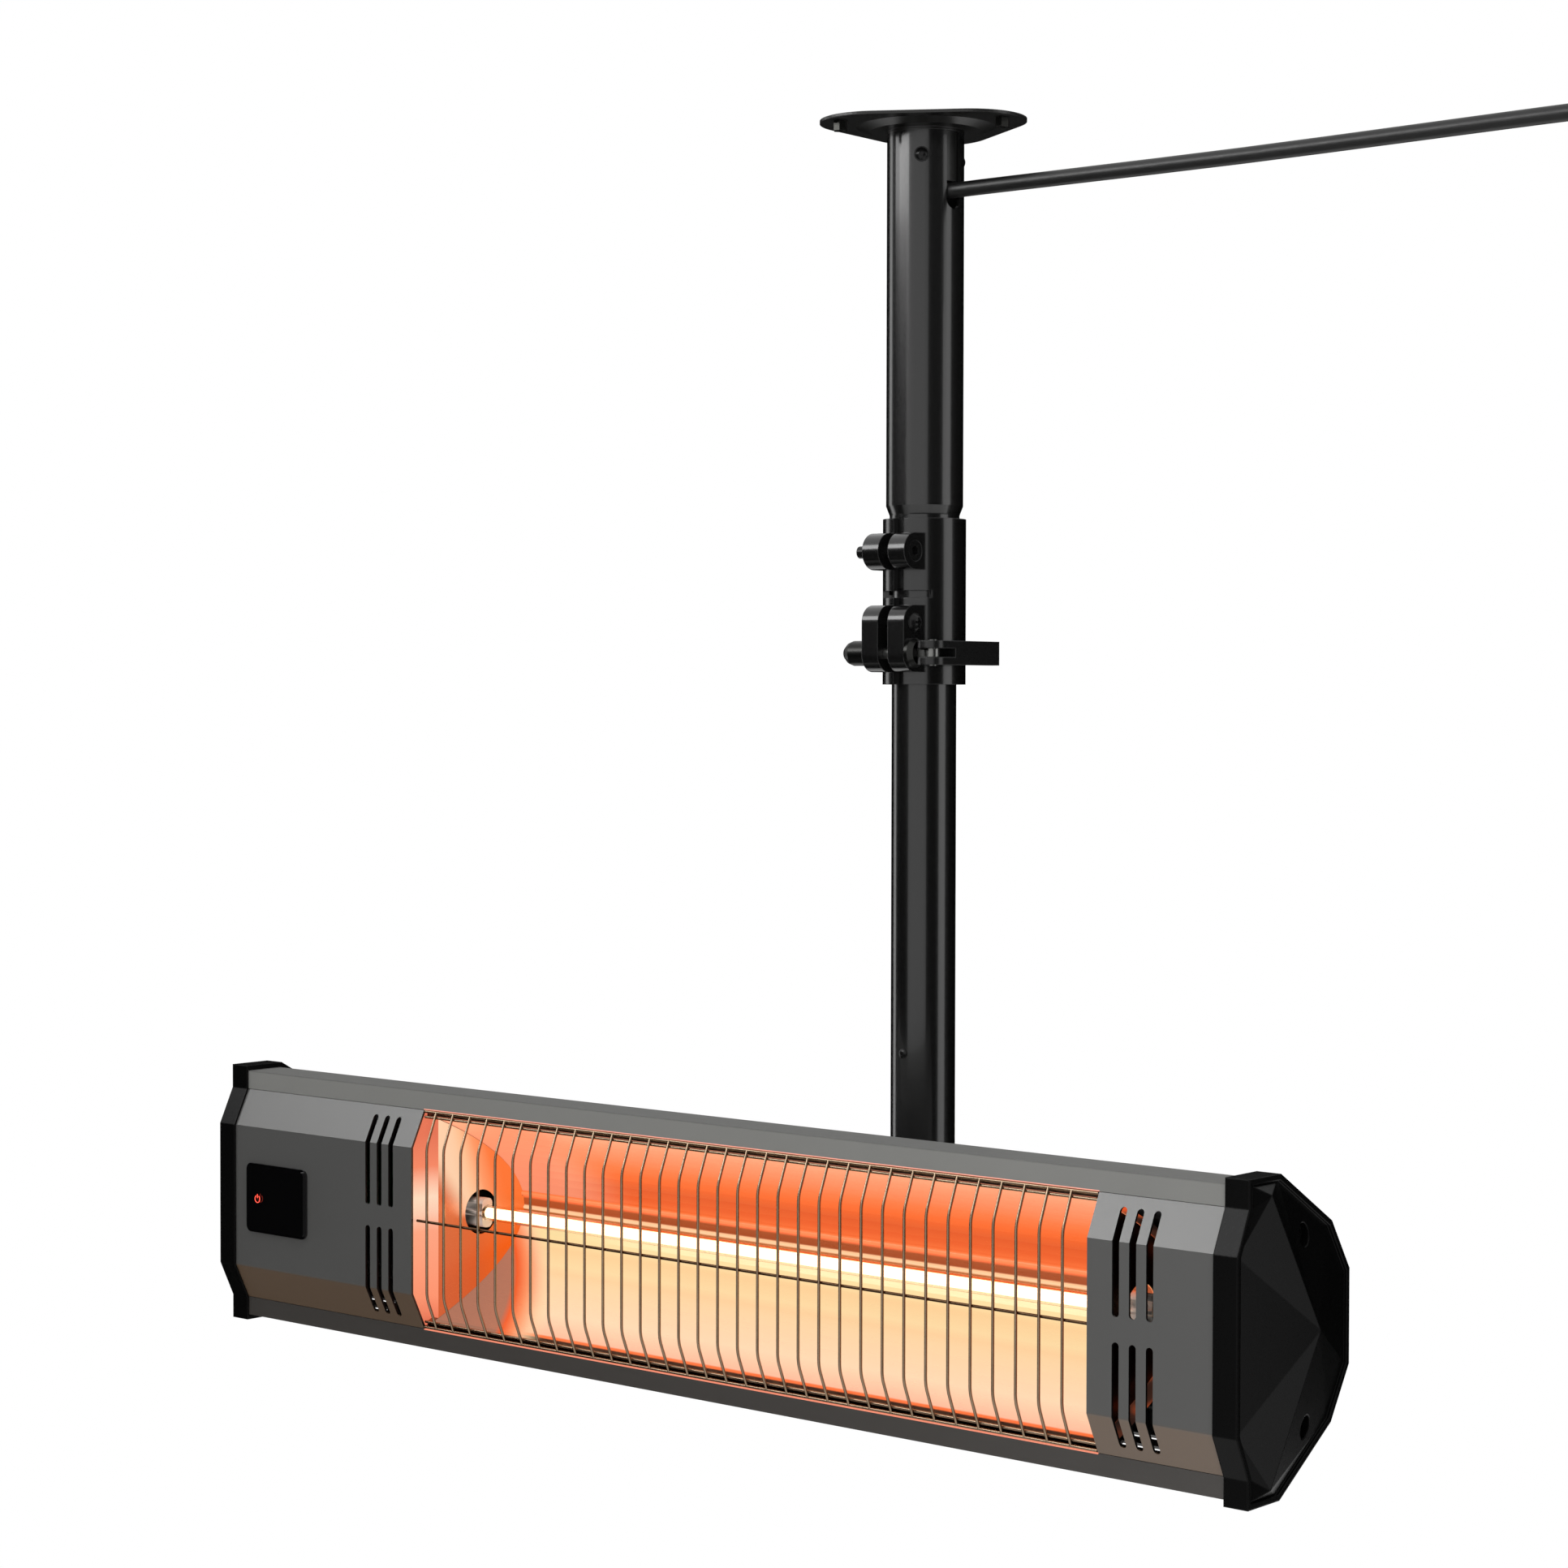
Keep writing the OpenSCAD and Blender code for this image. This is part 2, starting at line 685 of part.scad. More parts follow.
module release_nut() color("#3a3a3a") translate([-ear_x - run_gap, release_y, release_z])
    rotate([0, -right_angle, 0]) difference() {
        rotate_extrude() polygon(concat([[0, 0], [release_nut_r, 0]],
            [for (s = release_dome_shares) [s[0] * release_nut_r, s[1] * release_nut_len]],
            [[0, release_nut_len]]));
        translate([0, 0, -over]) cylinder(r = clamp_bolt_r + run_gap, h = release_nut_len / 2 + 2 * over);
    }

module release_washer() color("#4a4a48") translate([ear_x + run_gap, release_y, release_z])
    rotate([0, right_angle, 0]) rotate_extrude() polygon([[clamp_bolt_r + loose_gap, 0], [washer_r, 0],
        [washer_r, washer_rim_share * washer_len()], [washer_nose_r, washer_len()],
        [clamp_bolt_r + loose_gap, washer_len()]]);

function washer_len() = lever_pin_x - cam_r - seat_gap - run_gap;

module release_lever() color("#202020") difference() {
    union() {
        translate([lever_x, release_y, release_z - lever_h / 2]) cylinder(r = cam_r, h = lever_h);
        block([lever_x + cam_r - lever_t, release_y, release_z - lever_h / 2],
            [lever_x + cam_r, release_y + lever_len, release_z + lever_h / 2]);
    }
    block([lever_x - cam_r - over, release_y - cam_r - over, release_z - lever_slot_h / 2],
        [lever_x + cam_r + over, release_y + lever_slot_len, release_z + lever_slot_h / 2]);
    translate([lever_x, release_y, release_z - lever_h])
        cylinder(r = lever_pin_r + run_gap / 2, h = 2 * lever_h);
}

module lever_pin() color("#9a9a98") translate([lever_x, release_y, release_z]) {
    translate([0, 0, -lever_h / 2 - lever_pin_head_h])
        cylinder(r = lever_pin_r, h = lever_h + 2 * lever_pin_head_h);
    for (s = [-1, 1]) translate([0, 0, s * (lever_h / 2 + lever_pin_head_h / 2)])
        cylinder(r = lever_pin_head_r, h = lever_pin_head_h, center = true);
}

module glide_ring() color("#e8e6e0") difference() {
    pipe(upper_r - upper_wall - 2 * run_gap, lower_r - glide_groove + 2 * run_gap,
        glide_z + run_gap, glide_z + glide_h - run_gap);
    block([-glide_split / 2, 0, glide_z - over], [glide_split / 2, upper_r, glide_z + glide_h + over]);
}

module lower_tube() color("#2b2b2b") difference() {
    pipe(lower_r, lower_bore_r, lower_z, lower_top_z);
    pipe(lower_r + over, lower_r - glide_groove, glide_z, glide_z + glide_h);
    for (s = [-1, 1]) rotate([0, 0, s * right_angle])
        rod_x(foot_screw_r + 2 * run_gap, 0, lower_r + over, z = foot_screw_z);
}

module foot_screws() color("#1a1a1a") for (s = [-1, 1]) rotate([0, 0, s * right_angle]) {
    rod_x(foot_screw_r, foot_bore_r + over, lower_r + run_gap, z = foot_screw_z);
    translate([lower_r + run_gap, 0, foot_screw_z]) rotate([0, right_angle, 0])
        domed_head(foot_head_r, foot_head_h, socket_hex_r);
}

module pole_foot() color("#222222") difference() {
    union() {
        pipe(lower_bore_r - 2 * run_gap, foot_bore_r, lower_z - over, lower_z + foot_spigot_len);
        translate([0, 0, lower_z - foot_shoulder]) cylinder(r = lower_r, h = foot_shoulder);
        along_x(-foot_width, foot_width) {
            polygon([[foot_back, lower_z - foot_shoulder], [-foot_back, lower_z - foot_shoulder],
                [pivot_y, heater_z + cheek_r], [pivot_y, heater_z - cheek_r], [0, heater_z - cheek_r],
                [foot_back, heater_z]]);
            translate([pivot_y, heater_z]) circle(r = cheek_r);
        }
    }
    block([-cheek_gap, pivot_y - cheek_r - over, heater_z - cheek_r - over],
        [cheek_gap, -foot_bend_r, heater_z + cheek_r + over]);
    rod_x(pivot_screw_r + run_gap, -foot_width - over, foot_width + over, pivot_y, heater_z);
    translate([0, 0, foot_bend_z]) cylinder(r = foot_channel_r, h = lower_z + over - foot_bend_z);
    translate([0, -foot_bend_r, foot_bend_z]) rotate([0, right_angle, 0]) bend(foot_bend_r, foot_channel_r);
    for (s = [-1, 1]) rotate([0, 0, s * right_angle])
        rod_x(foot_screw_r + run_gap, 0, lower_r, z = foot_screw_z);
}

module feed_cable() color("#141414") translate([0, cord_y, 0]) {
    translate([feed_x + feed_bend_r, 0, coil_top_z]) rotate([right_angle, 0, 0]) rotate([0, 0, right_angle])
        bend(feed_bend_r, cable_r);
    rod_x(cable_r, feed_x + feed_bend_r, feed_out_x, z = cord_z);
}

module coiled_cable() color("#141414") translate([0, 0, coil_foot_z]) cylinder(r = coil_r, h = coil_len);

module tail_cable() color("#141414") {
    translate([0, 0, foot_bend_z]) cylinder(r = cable_r, h = coil_foot_z - foot_bend_z);
    translate([0, -foot_bend_r, foot_bend_z]) rotate([0, right_angle, 0]) bend(foot_bend_r, cable_r);
    rod_y(cable_r, -foot_bend_r, pivot_y, z = heater_z);
    translate([0, pivot_y, heater_z]) sphere(r = cable_r);
}

// A tube of flat sides along a list of points, with its ends closed
function ring_at(p, i) =
    let (n = len(p), d = unit(p[min(i + 1, n - 1)] - p[max(i - 1, 0)]),
        side = unit(cross(d, [0, 0, 1])), up = cross(side, d))
    [for (k = [0 : cord_sides - 1])
        let (a = full_turn * k / cord_sides) p[i] + cable_r * (cos(a) * side + sin(a) * up)];

module swept_tube(p) {
    n = len(p);
    points = [for (i = [0 : n - 1]) each ring_at(p, i)];
    walls = [for (i = [0 : n - 2], k = [0 : cord_sides - 1])
        let (a = i * cord_sides + k, b = i * cord_sides + (k + 1) % cord_sides)
        each [[a, b, b + cord_sides], [a, b + cord_sides, a + cord_sides]]];
    ends = [[for (k = [cord_sides - 1 : -1 : 0]) k],
        [for (k = [0 : cord_sides - 1]) (n - 1) * cord_sides + k]];
    polyhedron(points = points, faces = concat(walls, ends));
}

module power_cord() color("#141414") swept_tube(cord_route);

module cord_gland() color("#1b1b1b") translate([0, cord_y, 0]) difference() {
    union() {
        rod_x(box_gland_r, gland_out_x(), box_x - box_r + box_wall, z = cord_z);
        rod_x(box_gland_nut_r, box_x - box_r - 6 * box_wall, box_x - box_r - box_wall, z = cord_z,
            sides = 6);
        rod_x(box_gland_neck_r, box_x - box_r, box_x - box_r + 3 * box_wall, z = cord_z);
    }
    rod_x(cable_r + seat_gap, gland_out_x() - over, box_x, z = cord_z);
}

function gland_out_x() = box_x - box_r - box_gland_len;

module box_base() color("#1e1e1e") translate([box_x, cord_y, 0]) {
    translate([0, 0, -box_base_t]) cylinder(r = box_r, h = box_base_t);
    pipe(box_r - box_wall - loose_gap, box_r - 2 * box_wall, -2 * box_base_t, -box_base_t);
}

module box_cover() color("#1e1e1e") translate([0, cord_y, 0]) difference() {
    translate([box_x, 0, -box_h]) difference() {
        cylinder(r = box_r, h = box_h - box_base_t - run_gap);
        translate([0, 0, box_wall]) cylinder(r = box_r - box_wall, h = box_h);
    }
    rod_x(box_gland_r + run_gap, box_x - box_r - over, box_x, z = cord_z);
}

module box_terminals() color("#d8d4c8") translate([box_x, cord_y, 0])
    block([-terminal_w / 2, -terminal_h / 2, -box_base_t - terminal_t - run_gap],
        [terminal_w / 2, terminal_h / 2, -box_base_t - run_gap]);

module pivot_screws() color("#1a1a1a") for (s = [0, 1]) mirror([s, 0, 0]) difference() {
    union() {
        rod_x(pivot_screw_r, cheek_gap + over, yoke_inner + yoke_t + run_gap, pivot_y, heater_z);
        rod_x(pivot_head_r, yoke_inner + yoke_t + run_gap, yoke_inner + yoke_t + pivot_head_h, pivot_y,
            heater_z);
    }
    rod_x(pivot_hex_r, yoke_inner + yoke_t + pivot_head_h / 2, yoke_inner + yoke_t + pivot_head_h + over,
        pivot_y, heater_z, sides = 6);
}

module friction_discs() color("#c9c4b8") for (s = [0, 1]) mirror([s, 0, 0]) difference() {
    rod_x(disc_r, foot_width + seat_gap, foot_width + seat_gap + disc_t, pivot_y, heater_z);
    rod_x(pivot_screw_r + run_gap, foot_width, yoke_inner, pivot_y, heater_z);
}

module tilt_yoke() color("#262626") difference() {
    union() {
        block([-yoke_half_w, back_y, heater_z - yoke_half_h],
            [yoke_half_w, back_y + yoke_t, heater_z + yoke_half_h]);
        for (s = [0, 1]) mirror([s, 0, 0]) along_x(yoke_inner, yoke_inner + yoke_t) {
            polygon([[back_y, heater_z - yoke_half_h], [back_y, heater_z + yoke_half_h],
                [pivot_y, heater_z + yoke_arm_r], [pivot_y, heater_z - yoke_arm_r]]);
            translate([pivot_y, heater_z]) circle(r = yoke_arm_r);
        }
    }
    rod_x(pivot_screw_r + run_gap, -yoke_half_w, yoke_half_w, pivot_y, heater_z);
    for (x = [-1, 1], z = [-1, 1])
        rod_y(yoke_screw_r + run_gap, back_y + yoke_t + over, back_y - over, x * yoke_screw_x,
            heater_z + z * yoke_screw_z);
    rod_y(heater_gland_r + run_gap, back_y + yoke_t + over, back_y - over, z = heater_z);
}

module yoke_screws() color("#1a1a1a") for (x = [-1, 1], z = [-1, 1])
    translate([x * yoke_screw_x, back_y + yoke_t + run_gap, heater_z + z * yoke_screw_z]) {
        rod_y(yoke_screw_r, 0, -yoke_t - shell_t - 3 * over);
        rotate([-right_angle, 0, 0]) cylinder(r = yoke_head_flat / sqrt(3), h = yoke_head_h, $fn = 6);
    }

module heater_gland() color("#1b1b1b") translate([0, 0, heater_z]) difference() {
    union() {
        rod_y(heater_gland_r, back_y + heater_gland_len, back_y - shell_t - heater_gland_in / 2);
        rod_y(heater_seal_r, back_y - shell_t - run_gap, back_y - shell_t - heater_gland_in / 2);
    }
    rod_y(cable_r + seat_gap, back_y + heater_gland_len + over, back_y - shell_t - heater_gland_in);
}

module link_cable() color("#141414") translate([0, 0, heater_z]) {
    rod_y(cable_r, pivot_y - cable_r - seat_gap, back_y - shell_t);
    rod_y(loom_r, back_y, loom_y);
    translate([0, loom_y, 0]) sphere(r = loom_r);
    rod_x(loom_r, terminal_x + terminal_w / 2 + seat_gap, 0, loom_y, 0);
}

// The housing's section, with its lips and the channels that the cap screws bite in
module housing_shape() difference() {
    union() {
        difference() {
            polygon(housing_outline);
            polygon(inset(housing_outline, shell_t));
            translate([lip_y - over, -open_h]) square([shell_t + 2 * over, 2 * open_h]);
        }
        for (s = [0, 1]) mirror([0, s]) {
            translate([lip_y, open_h]) square([lip_return, lip_return_t]);
            intersection() {
                polygon(housing_outline);
                union() {
                    translate([boss_y, boss_z]) circle(r = boss_r);
                    translate([boss_y - boss_web / 2, boss_z + boss_r - over])
                        square([boss_web, half_h - boss_z]);
                }
            }
        }
    }
    for (s = [-1, 1]) translate([boss_y, s * boss_z]) circle(r = boss_bore_r);
}

// Slots through the sloping back, side by side down the slope
module louvres(x) {
    slope = atan2(half_h - knee_h, knee_y - top_back_y);
    mid = [(top_back_y + knee_y) / 2, (half_h + knee_h) / 2];
    for (s = [0, 1]) mirror([0, 0, s]) translate([x, mid[0], mid[1]]) rotate([-slope, 0, 0])
        for (i = [0 : louvre_count - 1])
            translate([0, (i - (louvre_count - 1) / 2) * louvre_pitch, 0])
                cube([louvre_w, louvre_h, 4 * shell_t], center = true);
}

module housing() color("#6f6f6e") translate([0, 0, heater_z]) difference() {
    along_x(-housing_half, housing_half) housing_shape();
    louvres(louvre_left);
    louvres(louvre_right);
    for (x = [-1, 1], z = [-1, 1])
        rod_y(yoke_screw_r + run_gap, back_y + over, back_y - shell_t - over, x * yoke_screw_x,
            z * yoke_screw_z);
    rod_y(heater_gland_r + run_gap, back_y + over, back_y - shell_t - over);
}

// The reflector's curve, as [y, z] at shares from -1 to 1 of its half height
function curve(y, depth, h, steps) =
    [for (i = [-steps : steps]) let (share = i / steps) [y - depth * share * share, h * share]];

module ridges(gap) {
    for (s = [-1, 1]) translate([reflector_y - reflector_span * pow(ridge_z / reflector_h, 2), s * ridge_z])
        circle(r = ridge_r + gap);
    translate([reflector_y, rib_z]) circle(r = rib_r + gap);
}

module reflector_shape() {
    inner = curve(reflector_y, reflector_span, reflector_h, reflector_steps);
    outer = curve(reflector_y + reflector_t, reflector_span + reflector_t, reflector_h + reflector_t,
        reflector_steps);
    polygon(concat(inner, [for (i = [len(outer) - 1 : -1 : 0]) outer[i]]));
    ridges(0);
}

// The flanges that stand behind the lips, between the covers
module reflector_flanges() {
    for (s = [0, 1]) mirror([0, s]) translate([reflector_front_y - reflector_t / 2, reflector_h])
        square([2 * reflector_t, reflector_drop - seat_gap]);
}

module reflector() color("#e9d9c8") translate([window_mid, 0, heater_z]) {
    along_x(-reflector_half, reflector_half) reflector_shape();
    along_x(-end_plate_x + 2 * seat_gap, end_plate_x - 2 * seat_gap) reflector_flanges();
}

// The space inside the reflector's curve
module trough_shape() polygon(curve(reflector_y - seat_gap, reflector_span, reflector_h - seat_gap,
    reflector_steps));

// The strip beside the window: inside the cover's edge, and on into the reflector's mouth up to the fold
module end_strip_shape() {
    mouth_y = reflector_front_y - reflector_t / 2 - seat_gap;
    mouth_h = reflector_h - 4 * seat_gap;
    intersection() {
        polygon(inset(cover_outline, cover_t + seat_gap));
        translate([front_y, -half_h]) square([mouth_y - front_y, 2 * half_h]);
    }
    translate([mouth_y - over, -mouth_h]) square([2 * over, 2 * mouth_h]);
    intersection() {
        trough_shape();
        translate([reflector_front_y - over, -half_h])
            square([end_fold_y - reflector_front_y + over, 2 * half_h]);
    }
}

// What is left of the trough behind a place
module trough_behind(y, depth) intersection() {
    trough_shape();
    translate([y, -half_h]) square([depth, 2 * half_h]);
}

// A folded plate that closes one end of the reflector, with a round hole for the lamp
module end_plate() translate([end_plate_x, 0, 0]) difference() {
    union() {
        along_x(0, end_plate_t) end_strip_shape();
        along_x(-end_fold, end_plate_t) trough_behind(end_fold_y, end_plate_t);
        along_x(-end_fold, end_plate_t - end_fold) trough_behind(end_fold_y, back_depth);
    }
    rod_x(end_hole_r, -end_fold - over, end_plate_t + over, lamp_y, 0);
    along_x(-end_fold - over, end_plate_t + over) ridges(seat_gap);
}

module end_plate_left() color("#d98a4a") translate([window_mid, 0, heater_z]) mirror([1, 0, 0]) end_plate();
module end_plate_right() color("#d98a4a") translate([window_mid, 0, heater_z]) end_plate();

module lamp_glass() color("#fff2dd") translate([window_mid, lamp_y, heater_z]) difference() {
    rod_x(lamp_r, -lamp_half, lamp_half);
    rod_x(lamp_r - lamp_wall, -lamp_half - over, lamp_half + over);
}

// The glowing element, with a thin lead-in wire to each cap
module filament() color("#ffd9a0") translate([window_mid, lamp_y, heater_z]) {
    rod_x(filament_r, -glow_half, glow_half);
    rod_x(lead_in_r, -lamp_half - cap_socket / 2, lamp_half + cap_socket / 2);
}

module lamp_cap() difference() {
    rod_x(cap_r, lamp_half - cap_socket, lamp_half - cap_socket + cap_len);
    rod_x(lamp_r + run_gap, lamp_half - cap_socket - over, lamp_half + run_gap);
    rod_x(lead_in_r + run_gap, lamp_half - over, lamp_half + cap_socket / 2 + run_gap);
}

module lamp_cap_left() color("#f2eee6") translate([window_mid, lamp_y, heater_z]) mirror([1, 0, 0])
    lamp_cap();
module lamp_cap_right() color("#f2eee6") translate([window_mid, lamp_y, heater_z]) lamp_cap();

// A steel bracket that stands on the housing's back and carries one end of the lamp
module lamp_bracket() {
    wall_y = back_y - shell_t - run_gap;
    difference() {
        union() {
            block([bracket_x, lamp_y - bracket_top, -bracket_h], [bracket_x + bracket_t, wall_y, bracket_h]);
            block([bracket_x, wall_y - bracket_t, -bracket_h], [bracket_x + bracket_foot, wall_y, bracket_h]);
        }
        rod_x(cap_r + run_gap, bracket_x - over, bracket_x + bracket_t + over, lamp_y, 0);
        rod_x(loom_r + seat_gap, bracket_x - over, bracket_x + bracket_t + over, loom_y, loom_z);
        rod_x(lead_r + seat_gap, bracket_x - over, bracket_x + bracket_t + over, loom_y, lead_z);
    }
}

module lamp_bracket_left() color("#b8b8b4") translate([window_mid, 0, heater_z]) mirror([1, 0, 0])
    lamp_bracket();
module lamp_bracket_right() color("#b8b8b4") translate([window_mid, 0, heater_z]) lamp_bracket();

// The lamp's two leads, from its caps to the back and along it to the control board
module lamp_leads() color("#c8a070") translate([0, 0, heater_z]) {
    cap_end = lamp_half - cap_socket + cap_len;
    for (s = [-1, 1]) {
        end_x = window_mid + s * cap_end;
        turn_x = end_x + 2 * s * lead_r;
        rod_x(lead_r, min(turn_x, end_x), max(turn_x, end_x), lamp_y, 0);
        translate([turn_x, lamp_y, 0]) cylinder(r = lead_r, h = lead_z);
        rod_y(lead_r, loom_y, lamp_y, turn_x, lead_z);
        for (y = [lamp_y, loom_y]) translate([turn_x, y, lead_z]) sphere(r = lead_r);
        translate([turn_x, lamp_y, 0]) sphere(r = lead_r);
    }
    rod_x(lead_r, terminal_x + terminal_w / 2 + seat_gap, window_mid + cap_end + 2 * lead_r, loom_y, lead_z);
    rod_x(lead_r, control_x + control_w / 2 + seat_gap, window_mid - cap_end - 2 * lead_r, loom_y, lead_z);
}

// One guard wire, bent in at both ends
module guard_wire() {
    run = [guard_end_y - guard_y, guard_end_z - guard_bend_z];
    translate([0, guard_y, -guard_bend_z]) cylinder(r = wire_r, h = 2 * guard_bend_z, $fn = guard_sides);
    for (s = [0, 1]) mirror([0, 0, s]) translate([0, guard_y, guard_bend_z - wire_r / 3])
        rotate([-atan2(run[0], run[1]), 0, 0])
            cylinder(r = wire_r, h = norm(run) + wire_r / 3, $fn = guard_sides);
}

module guard() color("#b59a7c") translate([0, 0, heater_z]) {
    for (i = [0 : wire_count - 1]) translate([guard_first + i * guard_pitch, 0, 0]) guard_wire();
    slope = unit([guard_end_y - guard_y, guard_end_z - guard_bend_z]);
    for (s = [-1, 1], k = [0, 1])
        rod_x(wire_r, left_edge + over, right_edge - over,
            guard_end_y - k * guard_rod_gap * slope[0] + (2 * wire_r - guard_overlap) * slope[1] * k,
            s * (guard_end_z - k * guard_rod_gap * slope[1] - (2 * wire_r - guard_overlap) * slope[0] * k),
            sides = guard_sides);
    rod_x(wire_r, left_edge + over, right_edge - over, guard_y + 2 * wire_r - guard_overlap, 0,
        sides = guard_sides);
}

// The section of a cover: a folded sheet with its edges turned in under the lips
module cover_shape() {
    difference() {
        polygon(cover_outline);
        polygon(inset(cover_outline, cover_t));
        translate([lip_y + cover_flange - 2 * cover_t, -cover_edge_h + cover_t])
            square([4 * cover_t, 2 * (cover_edge_h - cover_t)]);
    }
}

module vents(x) for (i = [-1 : 1], s = [0, 1]) mirror([0, 0, s]) translate([x + i * vent_pitch, 0, 0])
    along_y(lip_y + cover_t, front_y - over) slot_shape(vent_w, vent_low, vent_high);

module cover_left() color("#5a5a58") translate([0, 0, heater_z]) difference() {
    along_x(-housing_half, left_edge) cover_shape();
    vents(left_vent_x);
    translate([window_x, 0, 0]) along_y(front_y + 2 * cover_t, front_y - over)
        rounded(window_w - 4 * window_step, window_h - 4 * window_step, window_round);
}

module cover_right() color("#5c5b58") translate([0, 0, heater_z]) difference() {
    along_x(right_edge, housing_half) cover_shape();
    vents(right_vent_x);
}

// Where the cap's rim ends at a given place behind the front
function cap_rim_x(y) = y < cap_top_y ? cap_face
    : cap_face - (cap_face - cap_back_face) * (y - cap_top_y) / (cap_back_y - cap_top_y);

// The faceted outside of a cap: a low jewel whose peak lies towards the back
module cap_jewel() {
    edge = inset(cap_outline, cap_inset);
    n = len(edge);
    foot = [for (e = edge) [cap_floor + over, e[0], e[1]]];
    rise = [for (e = edge) [cap_rim_x(e[0]) - cap_groove, e[0], e[1]]];
    peak = [[cap_peak - over, cap_ridge_y, cap_ridge_z], [cap_peak - over, cap_ridge_y, -cap_ridge_z],
        [cap_peak, cap_apex_y, 0], [cap_floor + over, cap_apex_y, 0]];
    top = 2 * n;
    apex = top + 2;
    polyhedron(points = concat(foot, rise, peak), faces = concat(
        [for (i = [0 : n - 1]) [i, (i + 1) % n, apex + 1]],
        [for (i = [0 : n - 1]) [(i + 1) % n, i, n + i]],
        [for (i = [0 : n - 1]) [(i + 1) % n, n + i, n + (i + 1) % n]],
        [[n, top, n + 1], [n + 1, top, n + 2], [n + 2, top, apex], [n + 2, apex, n + 3],
            [n + 3, apex, top + 1], [n + 3, top + 1, n + 4], [n + 4, top + 1, n + 5],
            [n + 5, top + 1, n + 6]],
        [for (i = [6 : n - 2]) [n + i, i == 6 ? top + 1 : apex, n + i + 1]],
        [[n + 7, top + 1, apex], [2 * n - 1, top, n], [apex, top, 2 * n - 1]]));
}

module end_cap() difference() {
    union() {
        along_x(half_len, cap_floor + cap_wall) polygon(cap_outline);
        difference() {
            along_x(cap_floor, cap_face) difference() {
                polygon(cap_outline);
                polygon(inset(cap_outline, cap_inset + loose_gap));
            }
            translate([0, 0, -cap_top - over]) linear_extrude(2 * (cap_top + over))
                polygon([[cap_face, cap_top_y], [cap_back_face, cap_back_y],
                    [cap_back_face, cap_back_y + over], [cap_face + over, cap_back_y + over],
                    [cap_face + over, cap_top_y]]);
        }
        cap_jewel();
    }
    along_x(half_len - over, cap_floor) {
        polygon(inset(housing_outline, -cap_gap));
        polygon(inset(cover_outline, -cap_gap));
    }
    for (s = [-1, 1]) {
        rod_x(cap_screw_r + loose_gap, half_len, cap_peak, boss_y, s * boss_z);
        rod_x(cap_sink_r, cap_floor + cap_wall, cap_peak + over, boss_y, s * boss_z);
    }
}

module end_cap_left() color("#161616") translate([0, 0, heater_z]) mirror([1, 0, 0]) end_cap();
module end_cap_right() color("#161616") translate([0, 0, heater_z]) end_cap();

module cap_gasket() difference() {
    along_x(housing_half + run_gap, housing_half + gasket_t) difference() {
        polygon(housing_outline);
        polygon(inset(housing_outline, gasket_w));
    }
    for (z = [-1, 1]) rod_x(boss_r, housing_half, cap_floor, boss_y, z * boss_z);
}

module cap_gaskets() color("#2e2e2e") translate([0, 0, heater_z]) for (s = [0, 1]) mirror([s, 0, 0])
    cap_gasket();

module cap_screw(z) {
    seat = cap_floor + cap_wall + run_gap;
    rod_x(cap_screw_r, seat - cap_screw_len, seat, boss_y, z);
    translate([seat, boss_y, z]) rotate([0, right_angle, 0]) domed_head(cap_head_r, cap_head_h, socket_hex_r);
}

module cap_screws() color("#101010") translate([0, 0, heater_z]) for (s = [0, 1], z = [-1, 1])
    mirror([s, 0, 0]) cap_screw(z * boss_z);

module receiver_window() color("#0c0c0e") translate([window_x, 0, heater_z]) difference() {
    union() {
        along_y(front_y - run_gap, front_y - window_t / 2) rounded(window_w, window_h, window_round);
        along_y(front_y - run_gap, front_y - window_t)
            rounded(window_w - 2 * window_step, window_h - 2 * window_step, window_round - window_step);
        along_y(front_y + cover_t, front_y - window_t / 2)
            rounded(window_w - 5 * window_step, window_h - 5 * window_step, window_round - window_step);
    }
    rod_y(light_r + run_gap, front_y + 2 * cover_t, front_y - window_t - over, light_x - window_x);
}

module power_light() color("#ff2a1a") translate([light_x, 0, heater_z])
    rod_y(light_r, front_y + board_gap - run_gap, front_y - window_t);

module receiver_board() color("#2f5a3a") translate([window_x, 0, heater_z]) {
    along_y(front_y + board_gap + board_t, front_y + board_gap) square([window_w, window_h], center = true);
    for (x = [-1, 1], z = [-1, 1])
        rod_y(board_post_r, front_y + board_gap + board_t / 2, front_y + cover_t + run_gap,
            x * (window_w / 2 - board_post_inset), z * (window_h / 2 - board_post_inset));
}

module control_board() color("#2f5a3a") translate([control_x, 0, heater_z]) {
    wall_y = back_y - shell_t - run_gap;
    along_y(wall_y - control_post, wall_y - control_post - board_t)
        square([control_w, control_h], center = true);
    for (x = [-1, 1], z = [-1, 1]) rod_y(board_post_r, wall_y, wall_y - control_post - board_t / 2,
        x * (control_w / 2 - 2 * board_post_r), z * (control_h / 2 - 2 * board_post_r));
    translate([control_w / 4, wall_y - control_post - board_t, 0]) along_y(over / 2, -terminal_t)
        square([chip_w, chip_h], center = true);
    rod_y(board_gap, wall_y - control_post - board_t / 2, wall_y - control_post - terminal_t - board_t,
        -control_w / 4);
}

module terminal_block() color("#ece8dc") translate([terminal_x, 0, heater_z]) {
    wall_y = back_y - shell_t - run_gap;
    block([-terminal_w / 2, wall_y - terminal_t, -terminal_h / 2], [terminal_w / 2, wall_y, terminal_h / 2]);
}

module heater_loom() color("#3a3a3a") translate([0, 0, heater_z]) {
    rod_x(loom_r, control_x + control_w / 2 + seat_gap, terminal_x - terminal_w / 2 - seat_gap, loom_y,
        loom_z);
}

